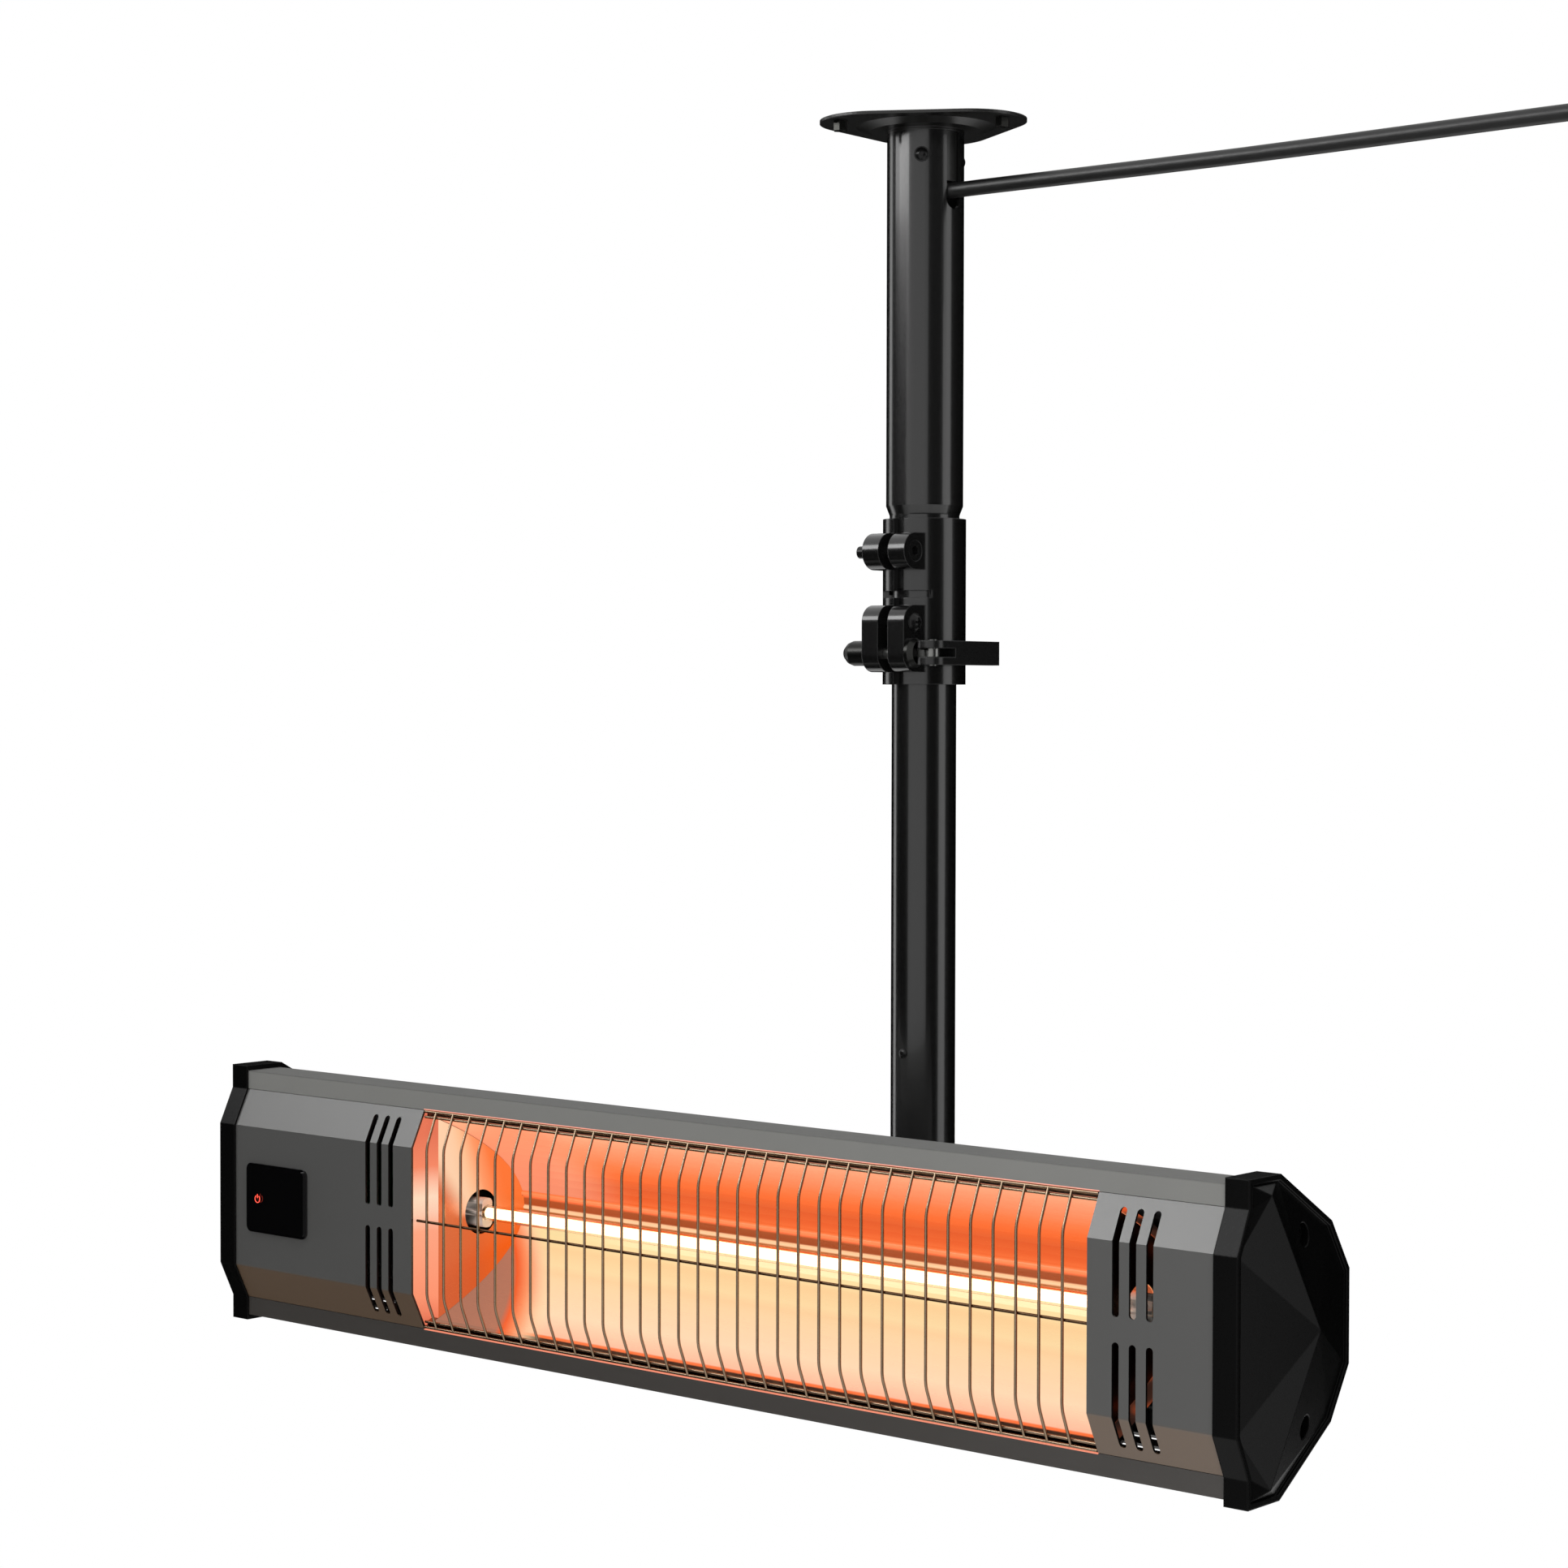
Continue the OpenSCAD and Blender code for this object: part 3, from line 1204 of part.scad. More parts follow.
ceiling_plate();
ceiling_nuts();
socket_screws();
upper_tube();
clamp_collar();
collar_bolt();
guide_screw();
release_bolt();
release_nut();
release_washer();
release_lever();
lever_pin();
glide_ring();
lower_tube();
foot_screws();
pole_foot();
feed_cable();
coiled_cable();
tail_cable();
power_cord();
cord_gland();
box_base();
box_cover();
box_terminals();
pivot_screws();
friction_discs();
tilt_yoke();
yoke_screws();
heater_gland();
link_cable();
housing();
reflector();
end_plate_left();
end_plate_right();
lamp_glass();
filament();
lamp_cap_left();
lamp_cap_right();
lamp_bracket_left();
lamp_bracket_right();
lamp_leads();
guard();
cover_left();
cover_right();
end_cap_left();
end_cap_right();
cap_gaskets();
cap_screws();
receiver_window();
power_light();
receiver_board();
control_board();
terminal_block();
heater_loom();
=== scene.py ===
# %% [markdown]
# # A ceiling infrared heater
# The heater hangs under a ceiling on a telescopic pole of two black tubes. Its body is an aluminium
# extrusion with a bright reflector, one glowing quartz lamp and a guard of bent wire. The model's solids
# come from the CAD frame and keep their sizes. This lesson gives them their finishes, and makes the pieces
# that a solid model leaves plain: the guard, the lamp's ceramic bases, the coiled lead and the supply cord.

# %% Load the frame
import json
import math

import bmesh
import bpy
from mathutils import Matrix, Vector

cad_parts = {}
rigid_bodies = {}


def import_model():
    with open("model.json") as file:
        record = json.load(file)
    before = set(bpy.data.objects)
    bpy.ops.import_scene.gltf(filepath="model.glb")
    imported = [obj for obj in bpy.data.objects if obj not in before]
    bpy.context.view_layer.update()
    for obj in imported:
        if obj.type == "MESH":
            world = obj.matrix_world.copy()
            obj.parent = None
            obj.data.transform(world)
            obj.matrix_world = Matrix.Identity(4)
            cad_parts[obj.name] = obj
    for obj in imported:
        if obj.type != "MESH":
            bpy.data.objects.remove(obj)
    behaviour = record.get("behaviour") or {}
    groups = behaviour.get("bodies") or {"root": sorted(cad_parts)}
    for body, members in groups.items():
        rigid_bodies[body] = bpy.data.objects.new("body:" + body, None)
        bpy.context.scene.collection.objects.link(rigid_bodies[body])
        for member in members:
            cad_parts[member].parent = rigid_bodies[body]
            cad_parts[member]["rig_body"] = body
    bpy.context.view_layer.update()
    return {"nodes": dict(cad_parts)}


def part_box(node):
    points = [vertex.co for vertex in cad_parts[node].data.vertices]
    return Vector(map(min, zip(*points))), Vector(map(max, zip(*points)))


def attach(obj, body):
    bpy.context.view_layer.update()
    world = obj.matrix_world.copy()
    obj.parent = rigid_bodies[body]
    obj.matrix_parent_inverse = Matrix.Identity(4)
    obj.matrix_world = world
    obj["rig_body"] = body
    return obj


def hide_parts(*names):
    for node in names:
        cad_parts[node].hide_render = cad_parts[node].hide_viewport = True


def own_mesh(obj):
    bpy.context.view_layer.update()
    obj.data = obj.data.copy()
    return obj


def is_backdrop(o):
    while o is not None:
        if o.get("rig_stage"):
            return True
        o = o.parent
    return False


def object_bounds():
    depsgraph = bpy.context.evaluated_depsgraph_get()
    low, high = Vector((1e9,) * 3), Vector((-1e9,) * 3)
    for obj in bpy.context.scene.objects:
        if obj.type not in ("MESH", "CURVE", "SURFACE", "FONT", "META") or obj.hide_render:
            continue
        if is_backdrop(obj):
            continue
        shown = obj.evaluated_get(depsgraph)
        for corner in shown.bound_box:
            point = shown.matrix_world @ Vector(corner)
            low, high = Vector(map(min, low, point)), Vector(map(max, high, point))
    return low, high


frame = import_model()
nodes = frame["nodes"]
MM = 0.001

# %% [markdown]
# The photograph looks at the heater from the front right, a little from above. A real studio camera with a
# 75 mm lens stood about two metres away. Its matrix is built from three angles, so that it can be read and
# changed, which a copied matrix can't.

# %% Camera
YAW, PITCH, ROLL = 0.711, 0.0253, 0.002
CAMERA_AT, LENS = (1.3188, -1.6706, -0.3736), 75.02
camera_data = bpy.data.cameras.new("studio_camera")
camera_data.lens = LENS
camera_data.sensor_width = 36.0
camera = bpy.data.objects.new("studio_camera", camera_data)
bpy.context.scene.collection.objects.link(camera)
level = Vector((math.cos(YAW), math.sin(YAW), 0))
ahead = Vector((-math.sin(YAW) * math.cos(PITCH), math.cos(YAW) * math.cos(PITCH), -math.sin(PITCH)))
down = ahead.cross(level)
image_right = math.cos(ROLL) * level - math.sin(ROLL) * down
image_down = math.sin(ROLL) * level + math.cos(ROLL) * down
turn = Matrix((image_right, -image_down, -ahead)).transposed().to_4x4()
camera.matrix_world = Matrix.Translation(CAMERA_AT) @ turn
bpy.context.scene.camera = camera
bpy.context.scene.view_settings.view_transform = "Standard"
print("camera at", tuple(round(v, 3) for v in camera.location))

# %% [markdown]
# Every finish below is a small tree of shader nodes. One function adds a node with its options and links,
# and one turns the colours, which are written as a paint chart writes them, into the linear light that
# Blender mixes.


# %% Small helpers for trees
def linear(chart, alpha=1.0):
    """The linear colour of an sRGB hex value such as "#4a4a48"."""
    shares = [int(chart[i : i + 2], 16) / 255 for i in (1, 3, 5)]
    return [s / 12.92 if s <= 0.04045 else ((s + 0.055) / 1.055) ** 2.4 for s in shares] + [alpha]


def add(tree, kind, feeds=None, stops=None, **options):
    """Adds a node. Feeds are values or other nodes' outputs, and stops are a ramp's places and colours."""
    made = tree.nodes.new(kind)
    for name, value in options.items():
        setattr(made, name, value)
    for name, value in (feeds or {}).items():
        if isinstance(value, bpy.types.NodeSocket):
            tree.links.new(value, made.inputs[name])
        else:
            made.inputs[name].default_value = value
    if stops:
        elements = made.color_ramp.elements
        elements[0].position, elements[1].position = stops[0][0], stops[-1][0]
        for share, _ in stops[1:-1]:
            elements.new(share)
        for element, (_, chart) in zip(elements, stops):
            element.color = linear(chart)
    return made


def finish(name, chart, rough, metallic=0.0, grain=0.6, depth=0.03, mottle=0.12, patch=40.0, edge=0.0,
           stretch=(1, 1, 1), **sockets):
    """A finish with a fine grain that lifts the surface, and slow patches in its colour and gloss.
    Grain and patch are sizes, depth is a height and edge is the radius to which the paint or the tool
    rounds a sharp edge, all in millimetres. Sockets are the shader's own."""
    material = bpy.data.materials.new(name)
    material.use_nodes = True
    tree = material.node_tree
    tree.nodes.clear()
    place = add(tree, "ShaderNodeTexCoord").outputs["Object"]
    drawn = add(tree, "ShaderNodeMapping", {"Vector": place, "Scale": stretch}).outputs["Vector"]
    fine = add(tree, "ShaderNodeTexNoise", {"Vector": drawn, "Scale": 1 / (grain * MM), "Detail": 2.0})
    slow = add(tree, "ShaderNodeTexNoise", {"Vector": place, "Scale": 1 / (patch * MM), "Detail": 3.0})
    dark = [v * (1 - mottle) for v in linear(chart)[:3]] + [1]
    pale = [min(v * (1 + mottle), 1) for v in linear(chart)[:3]] + [1]
    colour = add(tree, "ShaderNodeMix", {0: slow.outputs["Fac"], 6: dark, 7: pale}, data_type="RGBA")
    gloss = add(tree, "ShaderNodeMapRange", {"Value": fine.outputs["Fac"], "From Min": 0.3, "From Max": 0.7,
                                             "To Min": rough * 0.9, "To Max": min(rough * 1.1, 1.0)})
    lift = add(tree, "ShaderNodeBump", {
        "Height": fine.outputs["Fac"], "Strength": 0.6, "Distance": depth * MM})
    if edge:
        rounded = add(tree, "ShaderNodeBevel", {"Radius": edge * MM}, samples=6)
        tree.links.new(rounded.outputs["Normal"], lift.inputs["Normal"])
    shader = add(tree, "ShaderNodeBsdfPrincipled", {
        "Base Color": colour.outputs[2], "Metallic": metallic, "Roughness": gloss.outputs["Result"],
        "Normal": lift.outputs["Normal"], **sockets})
    add(tree, "ShaderNodeOutputMaterial", {"Surface": shader.outputs["BSDF"]})
    return material


def part_of(material, kind):
    """The first node of a kind in a material's tree."""
    return next(n for n in material.node_tree.nodes if n.bl_idname == kind)


def leaning(tree, axes, base, **shares):
    """A base in metres plus shares of the place's axes, such as X=0.7. It rises along one direction."""
    total = base
    for axis, share in shares.items():
        feeds = {0: axes.outputs[axis], 1: share, 2: total}
        total = add(tree, "ShaderNodeMath", feeds, operation="MULTIPLY_ADD").outputs[0]
    return total


def along(tree, value, start, end):
    """How far a value has come from start to end, as a soft share from 0 to 1."""
    feeds = {"Value": value, "From Min": start, "From Max": end}
    return add(tree, "ShaderNodeMapRange", feeds, interpolation_type="SMOOTHSTEP").outputs["Result"]


def ramped(tree, value, stops):
    """The colour that belongs to a value. Stops are places and their colours, in rising order."""
    start, end = stops[0][0], stops[-1][0]
    share = add(tree, "ShaderNodeMapRange", {"Value": value, "From Min": start, "From Max": end})
    shares = [((place - start) / (end - start), chart) for place, chart in stops]
    return add(tree, "ShaderNodeValToRGB", {"Fac": share.outputs["Result"]}, stops=shares).outputs["Color"]


def layered(tree, colour, *coats):
    """A colour with coats laid over it. A coat is its share from 0 to 1 and its colour."""
    for share, coat in coats:
        colour = add(tree, "ShaderNodeMix", {0: share, 6: colour, 7: coat}, data_type="RGBA").outputs[2]
    return colour


def opened(material):
    """A finish's tree and shader, the place on the object, and that place taken apart into its axes."""
    tree = material.node_tree
    place = part_of(material, "ShaderNodeTexCoord").outputs["Object"]
    axes = add(tree, "ShaderNodeSeparateXYZ", {"Vector": place})
    return tree, part_of(material, "ShaderNodeBsdfPrincipled"), place, axes


def off_middle(tree, axes):
    """The distance along X from the window's middle."""
    offset = leaning(tree, axes, -WINDOW_MID, X=1.0)
    return add(tree, "ShaderNodeMath", {0: offset}, operation="ABSOLUTE").outputs[0]


def seen_rays(tree):
    """1 for rays of the camera, of a mirror or through glass, and 0 for all others."""
    path = add(tree, "ShaderNodeLightPath").outputs
    seen = path["Is Camera Ray"]
    for kind in ("Is Glossy Ray", "Is Transmission Ray"):
        seen = add(tree, "ShaderNodeMath", {0: seen, 1: path[kind]}, operation="MAXIMUM").outputs[0]
    return seen


# The lamp's height, and the middle of the window along X, in metres.
HEATER_Z, WINDOW_MID = -0.706, 0.046
print("helpers ready")

# %% [markdown]
# The supply cord is a round rubber cord, 10 mm thick. It leaves the slot near the top of the upper tube and
# runs almost level to a ceiling box. It is held taut between two fittings, so its middle sags by only one
# millimetre. The camera sees its first part. A curve with a round bevel gives a tube that stays exactly
# round, and the curve itself is the line that the frame measures.

# %% Supply cord
CORD_ROUTE = [
    (26, -2.2, -45.2), (40, -2.2, -45.2), (62, -2.2, -45.3), (92, -2.2, -45.5), (122, -2.2, -45.7),
    (152, -2.2, -45.9), (182, -2.2, -46.1), (212, -2.2, -46.2), (242, -2.2, -46.3), (272, -2.2, -46.2),
    (302, -2.2, -46.1), (332, -2.2, -45.9), (362, -2.2, -45.7), (392, -2.2, -45.5), (422, -2.2, -45.3),
    (444, -2.2, -45.2), (462, -2.2, -45.2)]
CORD_THICKNESS = 0.010
cord_points = [Vector(p) * MM for p in CORD_ROUTE]
cord_curve = bpy.data.curves.new("supply_cord", "CURVE")
cord_curve.dimensions = "3D"
cord_curve.bevel_depth = CORD_THICKNESS / 2
cord_curve.bevel_resolution = 6
cord_curve.use_fill_caps = True
cord_line = cord_curve.splines.new("POLY")
cord_line.points.add(len(cord_points) - 1)
for dot, where in zip(cord_line.points, cord_points):
    dot.co = (*where, 1)
supply_cord = bpy.data.objects.new("supply_cord", cord_curve)
bpy.context.scene.collection.objects.link(supply_cord)
# Rubber sheath: matt, with a faint drawn grain along the cord from the extruder's die.
cord_rubber = finish("extruded_rubber_sheath", "#0b0b0b", 0.42, grain=0.9, depth=0.02, patch=25,
                     stretch=(0.15, 1, 1))
cord_curve.materials.append(cord_rubber)
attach(supply_cord, "ceiling_mount")
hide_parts("power_cord")

# %% [markdown]
# The studio is white all round. The black tubes need something else: a photographer stands black cards
# round a dark glossy object, so that it mirrors only narrow white gaps, and these become the long clean
# lines on the tubes. The cards are one ring of tall strips, which only glossy rays see.

# %% World
world = bpy.data.worlds.new("white_studio")
bpy.context.scene.world = world
world.use_nodes = True
sky = world.node_tree
sky.nodes.clear()
FILL = 0.62
power = add(sky, "ShaderNodeMapRange", {"Value": seen_rays(sky), "To Min": FILL, "To Max": 1.0})
white = add(sky, "ShaderNodeBackground", {"Color": (1, 1, 1, 1), "Strength": power.outputs["Result"]})
add(sky, "ShaderNodeOutputWorld", {"Surface": white.outputs["Background"]})
print("world fill:", FILL)


# %% Black cards and light strips
def glow(name, chart, strength):
    """A card that gives an even light of a colour, and nothing else."""
    material = bpy.data.materials.new(name)
    material.use_nodes = True
    material.node_tree.nodes.clear()
    light = add(material.node_tree, "ShaderNodeEmission", {"Color": linear(chart), "Strength": strength})
    add(material.node_tree, "ShaderNodeOutputMaterial", {"Surface": light.outputs["Emission"]})
    return material


RING_RADIUS, RING_LOW, RING_MID, RING_HIGH, RING_TOP = 2.6, -1.75, 0.32, 0.75, 1.3
CARD_DEGREES = 4
# Each arc is its first and last direction in degrees from +X, its two heights and its material. The last
# three stand high, and give the slopes that face up their light: more of it towards the right.
BLACK, BRIGHT, SOFT, FULL = 0, 1, 2, 3
ARCS = [(-42.7, 3, RING_LOW, RING_HIGH, BLACK), (3, 31, RING_LOW, RING_HIGH, BRIGHT),
        (31, 177, RING_LOW, RING_HIGH, BLACK), (177, 193, RING_LOW, RING_HIGH, BRIGHT),
        (193, 251.3, RING_LOW, RING_MID, BLACK), (193, 208, RING_MID, RING_HIGH, BLACK),
        (208, 224, RING_MID, RING_TOP, SOFT), (224, 258, RING_MID, RING_TOP, FULL)]
ring_mesh = bmesh.new()
for first, last, low, high, kind in ARCS:
    steps = max(2, round((last - first) / CARD_DEGREES))
    columns = []
    for i in range(steps + 1):
        angle = math.radians(first + (last - first) * i / steps)
        x, y = RING_RADIUS * math.cos(angle), RING_RADIUS * math.sin(angle)
        columns.append([ring_mesh.verts.new((x, y, z)) for z in (low, high)])
    for a, b in zip(columns, columns[1:]):
        ring_mesh.faces.new((a[0], a[1], b[1], b[0])).material_index = kind
# A black card just above the floor darkens what the lower lip mirrors at its left end.
corners = [(-2.4, -1.9), (-0.7, -1.9), (-0.7, 0.3), (-2.4, 0.3)]
ring_mesh.faces.new([ring_mesh.verts.new((x, y, RING_LOW)) for x, y in corners]).material_index = BLACK
ring_data = bpy.data.meshes.new("studio_cards")
ring_mesh.to_mesh(ring_data)
ring_mesh.free()
ring_data.materials.append(glow("black_card", "#000000", 0.0))
ring_data.materials.append(glow("light_strip", "#ffffff", 1.6))
ring_data.materials.append(glow("soft_strip", "#ffffff", 4.2))
ring_data.materials.append(glow("full_strip", "#ffffff", 7.0))
ring = bpy.data.objects.new("studio_cards", ring_data)
bpy.context.scene.collection.objects.link(ring)
ring.visible_camera = ring.visible_diffuse = ring.visible_shadow = ring.visible_transmission = False
ring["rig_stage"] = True
print("cards:", len(ring_data.polygons))

# %% [markdown]
# The floor lies where a floor would be, well below the heater. It is pale and plain, and shows almost
# white to the camera.

# %% Floor
FLOOR_Z, FLOOR_RADIUS, FLOOR_GLOW = -1.9, 3.0, 0.75
floor_data = bpy.data.meshes.new("studio_floor")
floor_mesh = bmesh.new()
floor_place = Matrix.Translation((0, 0, FLOOR_Z))
bmesh.ops.create_circle(floor_mesh, cap_ends=True, segments=64, radius=FLOOR_RADIUS, matrix=floor_place)
floor_mesh.to_mesh(floor_data)
floor_mesh.free()
floor = bpy.data.objects.new("studio_floor", floor_data)
bpy.context.scene.collection.objects.link(floor)
floor_paint = bpy.data.materials.new("pale_matt_floor")
floor_paint.use_nodes = True
tree = floor_paint.node_tree
tree.nodes.clear()
share = add(tree, "ShaderNodeMath", {0: seen_rays(tree), 1: FLOOR_GLOW}, operation="MULTIPLY")
matt = add(tree, "ShaderNodeBsdfDiffuse", {"Color": linear("#f4f3f0")})
bright = add(tree, "ShaderNodeEmission", {"Color": (1, 1, 1, 1), "Strength": 1.0})
blend = add(tree, "ShaderNodeMixShader", {0: share.outputs[0], 1: matt.outputs[0], 2: bright.outputs[0]})
add(tree, "ShaderNodeOutputMaterial", {"Surface": blend.outputs[0]})
floor_data.materials.append(floor_paint)
floor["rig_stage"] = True
print("floor at", FLOOR_Z)


# %% Lamps of the studio
def lamp(name, kind, where, aim, watts, chart="#ffffff", **options):
    """A studio lamp that points at a place."""
    data = bpy.data.lights.new(name, kind)
    data.energy, data.color = watts, linear(chart)[:3]
    for option, value in options.items():
        setattr(data, option, value)
    holder = bpy.data.objects.new(name, data)
    bpy.context.scene.collection.objects.link(holder)
    turned = (Vector(aim) - Vector(where)).to_track_quat("-Z", "Y").to_matrix().to_4x4()
    holder.matrix_world = Matrix.Translation(where) @ turned
    holder.visible_glossy = False
    return holder


lamp("overhead_softbox", "AREA", (0.1, -0.7, 1.5), (0, -0.2, -0.7), 26, shape="DISK", size=1.8)
lamp("right_softbox", "AREA", (2.2, -1.6, -0.5), (0.1, -0.2, -0.7), 14, shape="DISK", size=1.2)
lamp("tube_spot", "SPOT", (0.95, -1.7, -0.10), (0.0, 0.0, -0.135), 420, spot_size=math.radians(8.5),
     spot_blend=1.0, shadow_soft_size=0.25)

# %% [markdown]
# Steel tubes and castings are powder coated: a paint that is melted on and keeps a fine orange peel of
# about a millimetre. It is satin black, so what the eye sees of it is mostly its reflections.

# %% Metal and paint finishes
SATIN = {"IOR": 1.5, "Coat Weight": 0.35, "Coat Roughness": 0.08}
finishes = {
    "tube": finish("satin_powder_coat_tube", "#0e0e0e", 0.22, grain=1.4, depth=0.012, stretch=(1, 1, 0.35),
                   **SATIN),
    "plate": finish("satin_powder_coat_plate", "#0c0c0b", 0.32, grain=1.2, depth=0.02, edge=0.8),
    "casting": finish("powder_coat_on_casting", "#0a0a0a", 0.22, grain=1.0, depth=0.008, edge=0.8, **SATIN),
    "lever": finish("satin_cast_lever", "#090909", 0.3, grain=0.9, depth=0.01, edge=0.8),
    "zinc": finish("black_zinc_nuts", "#3a3a38", 0.32, metallic=1.0, grain=0.7, depth=0.01, edge=0.4),
    "oxide": finish("black_oxide_screws", "#151515", 0.28, metallic=0.6, grain=0.5, depth=0.008, edge=0.3),
    "bolt": finish("zinc_plated_bolt", "#7d7d7b", 0.3, metallic=1.0, grain=0.5, depth=0.012,
                   stretch=(0.2, 1, 1)),
    "washer": finish("dark_zinc_washer", "#2e2e2d", 0.3, metallic=1.0, grain=0.5, depth=0.015),
    "foot": finish("powder_coat_foot", "#0d0d0d", 0.35, grain=1.1, depth=0.02),
    "galvanised": finish("galvanised_sheet", "#9a9a97", 0.4, metallic=1.0, grain=3.0, depth=0.02, mottle=0.3,
                         patch=8),
    "acetal": finish("natural_acetal_ring", "#dddad0", 0.4, grain=0.8, depth=0.01),
    "fibre": finish("pressed_fibre_disc", "#8d887d", 0.85, grain=0.5, depth=0.06, mottle=0.25, patch=3),
    "gasket": finish("silicone_gasket", "#1e1e1e", 0.6, grain=0.8, depth=0.02),
    "moulded": finish("moulded_black_nylon", "#101010", 0.38, grain=0.7, depth=0.03),
    "terminal": finish("moulded_white_terminal", "#cfcabd", 0.35, grain=0.6, depth=0.015),
    "rubber": finish("rubber_cable_sheath", "#0c0c0c", 0.5, grain=0.8, depth=0.025),
    "board": finish("green_circuit_board", "#14532b", 0.35, grain=1.2, depth=0.03, mottle=0.3, patch=6),
    "sleeve": finish("glass_fibre_sleeve", "#b39a6c", 0.75, grain=0.7, depth=0.12, mottle=0.25, patch=2),
    "ceramic": finish("glazed_ceramic_cap", "#e6e2d8", 0.18, grain=1.5, depth=0.01, **{"Coat Weight": 0.5}),
    "caps": finish("moulded_end_cap", "#060606", 0.3, grain=0.8, depth=0.008, edge=1.2,
                   **{"Specular IOR Level": 0.1}),
}
print("finishes:", len(finishes))

# %% [markdown]
# The housing is an aluminium extrusion, anodised anthracite. The die leaves fine lines along its length,
# so its grain is stretched along X. The covers are painted sheet of nearly the same colour. Their lower
# slope has a browner tone from the fold down: painted light, for the lamp's warm light on it. The lips
# carry painted light and shade: the upper one is painted paler, with a painted highlight along its arris,
# and the lower one is painted darker. The slots of the covers are punched, and their walls are painted
# almost black as painted shade: the object's own normal finds them, facing sideways.

# %% Anodised housing and painted covers
FOLD_Z = -0.0471
# The lips' inner edges beside the window: their height, its tolerance, their back and half their length.
LIP_Z, LIP_BAND, LIP_BACK, LIP_HALF = 0.0706, 0.0005, -0.2370, 0.2636
finishes["housing"] = finish("anthracite_anodised_extrusion", "#8e8e8c", 0.38, metallic=0.1, grain=0.5,
                             depth=0.012, mottle=0.05, patch=60, stretch=(0.02, 1, 1), IOR=1.75)
finishes["covers"] = finish("anthracite_painted_sheet", "#8e8e8c", 0.4, metallic=0.1, grain=0.6, depth=0.012,
                            mottle=0.04, patch=70, IOR=1.75)
# Painted light and shade, by height from the lamp in metres. They multiply the finish's own colour.
HOUSING_PAINTED_LIGHT = [
    (-0.090, "#78726e"), (-0.070, "#78726e"), (-0.069, "#9b9b9b"), (0.069, "#9b9b9b"), (0.070, "#f0f0ee"),
    (0.0816, "#f0f0ee"), (0.0820, "#ffffff"), (0.0824, "#b8b8b7"), (0.090, "#b8b8b7")]
# On the covers the lamp's warm light is painted below the fold.
COVER_PAINTED_WARMTH = [
    (-0.090, "#b39275"), (FOLD_Z - 0.0008, "#b39275"), (FOLD_Z + 0.0008, "#949494"), (0.090, "#949494")]
for kind, tones in (("housing", HOUSING_PAINTED_LIGHT), ("covers", COVER_PAINTED_WARMTH)):
    tree, shader, place, axes = opened(finishes[kind])
    plain = shader.inputs["Base Color"].links[0].from_socket
    across = leaning(tree, axes, -HEATER_Z, Z=1.0)
    feeds = {0: 1.0, 6: plain, 7: ramped(tree, across, tones)}
    toned = add(tree, "ShaderNodeMix", feeds, data_type="RGBA", blend_type="MULTIPLY").outputs[2]
    if kind == "covers":
        # Painted shade: the slots' walls, which face sideways, are painted almost black.
        facing = add(tree, "ShaderNodeSeparateXYZ", {"Vector": place.node.outputs["Normal"]}).outputs["X"]
        sideways = add(tree, "ShaderNodeMath", {0: facing}, operation="ABSOLUTE").outputs[0]
        toned = layered(tree, toned, (along(tree, sideways, 0.5, 0.8), linear("#0d0c0b")))
    else:
        # Painted light: the inner edges of both lips beside the window glow, for the lamp's light on them.
        height = add(tree, "ShaderNodeMath", {0: across}, operation="ABSOLUTE").outputs[0]
        edge = add(tree, "ShaderNodeMath", {0: height, 1: LIP_Z, 2: LIP_BAND}, operation="COMPARE").outputs[0]
        feeds = {0: axes.outputs["Y"], 1: LIP_BACK}
        front = add(tree, "ShaderNodeMath", feeds, operation="LESS_THAN").outputs[0]
        middle = leaning(tree, axes, -WINDOW_MID, X=1.0)
        window = add(tree, "ShaderNodeMath", {0: middle, 1: 0.0, 2: LIP_HALF}, operation="COMPARE").outputs[0]
        lit = add(tree, "ShaderNodeMath", {0: edge, 1: front}, operation="MULTIPLY").outputs[0]
        lit = add(tree, "ShaderNodeMath", {0: lit, 1: window}, operation="MULTIPLY").outputs[0]
        glow_colour = layered(tree, (0, 0, 0, 1), (lit, linear("#f08a6c")))
        tree.links.new(glow_colour, shader.inputs["Emission Color"])
        shader.inputs["Emission Strength"].default_value = 1.0
    tree.links.new(toned, shader.inputs["Base Color"])
print("housing and covers done")

# %% [markdown]
# The lamp is a quartz tube with a glowing element. It shows almost white, and the light that it throws is
# orange. The reflector is a bright rolled sheet. The glow that it mirrors is painted on it as a painted
# reflection: deep orange on its upper half, fading to salmon at the lip, and cream on its lower half. Two
# pressed ridges stand along its middle, with a channel between them that is painted darker.

# %% Lamp
finishes["element"] = finish("glowing_element", "#ffd9b0", 0.6, grain=1.5, depth=0.05, stretch=(3, 1, 1),
                             **{"Emission Color": linear("#ffd2a6"), "Emission Strength": 3.2})
finishes["quartz"] = finish("clear_quartz", "#fffaf2", 0.02, grain=4.0, depth=0.002, mottle=0.02,
                            **{"IOR": 1.46, "Transmission Weight": 1.0})
# Only the element's middle glows. Its lead-in wires to the caps stay dark.
GLOW_HALF, GLOW_END = 0.2517, 0.2519
tree, shader, _, axes = opened(finishes["element"])
dark_end = along(tree, off_middle(tree, axes), GLOW_HALF, GLOW_END)
tree.links.new(layered(tree, linear("#ffd2a6"), (dark_end, (0, 0, 0, 1))), shader.inputs["Emission Color"])

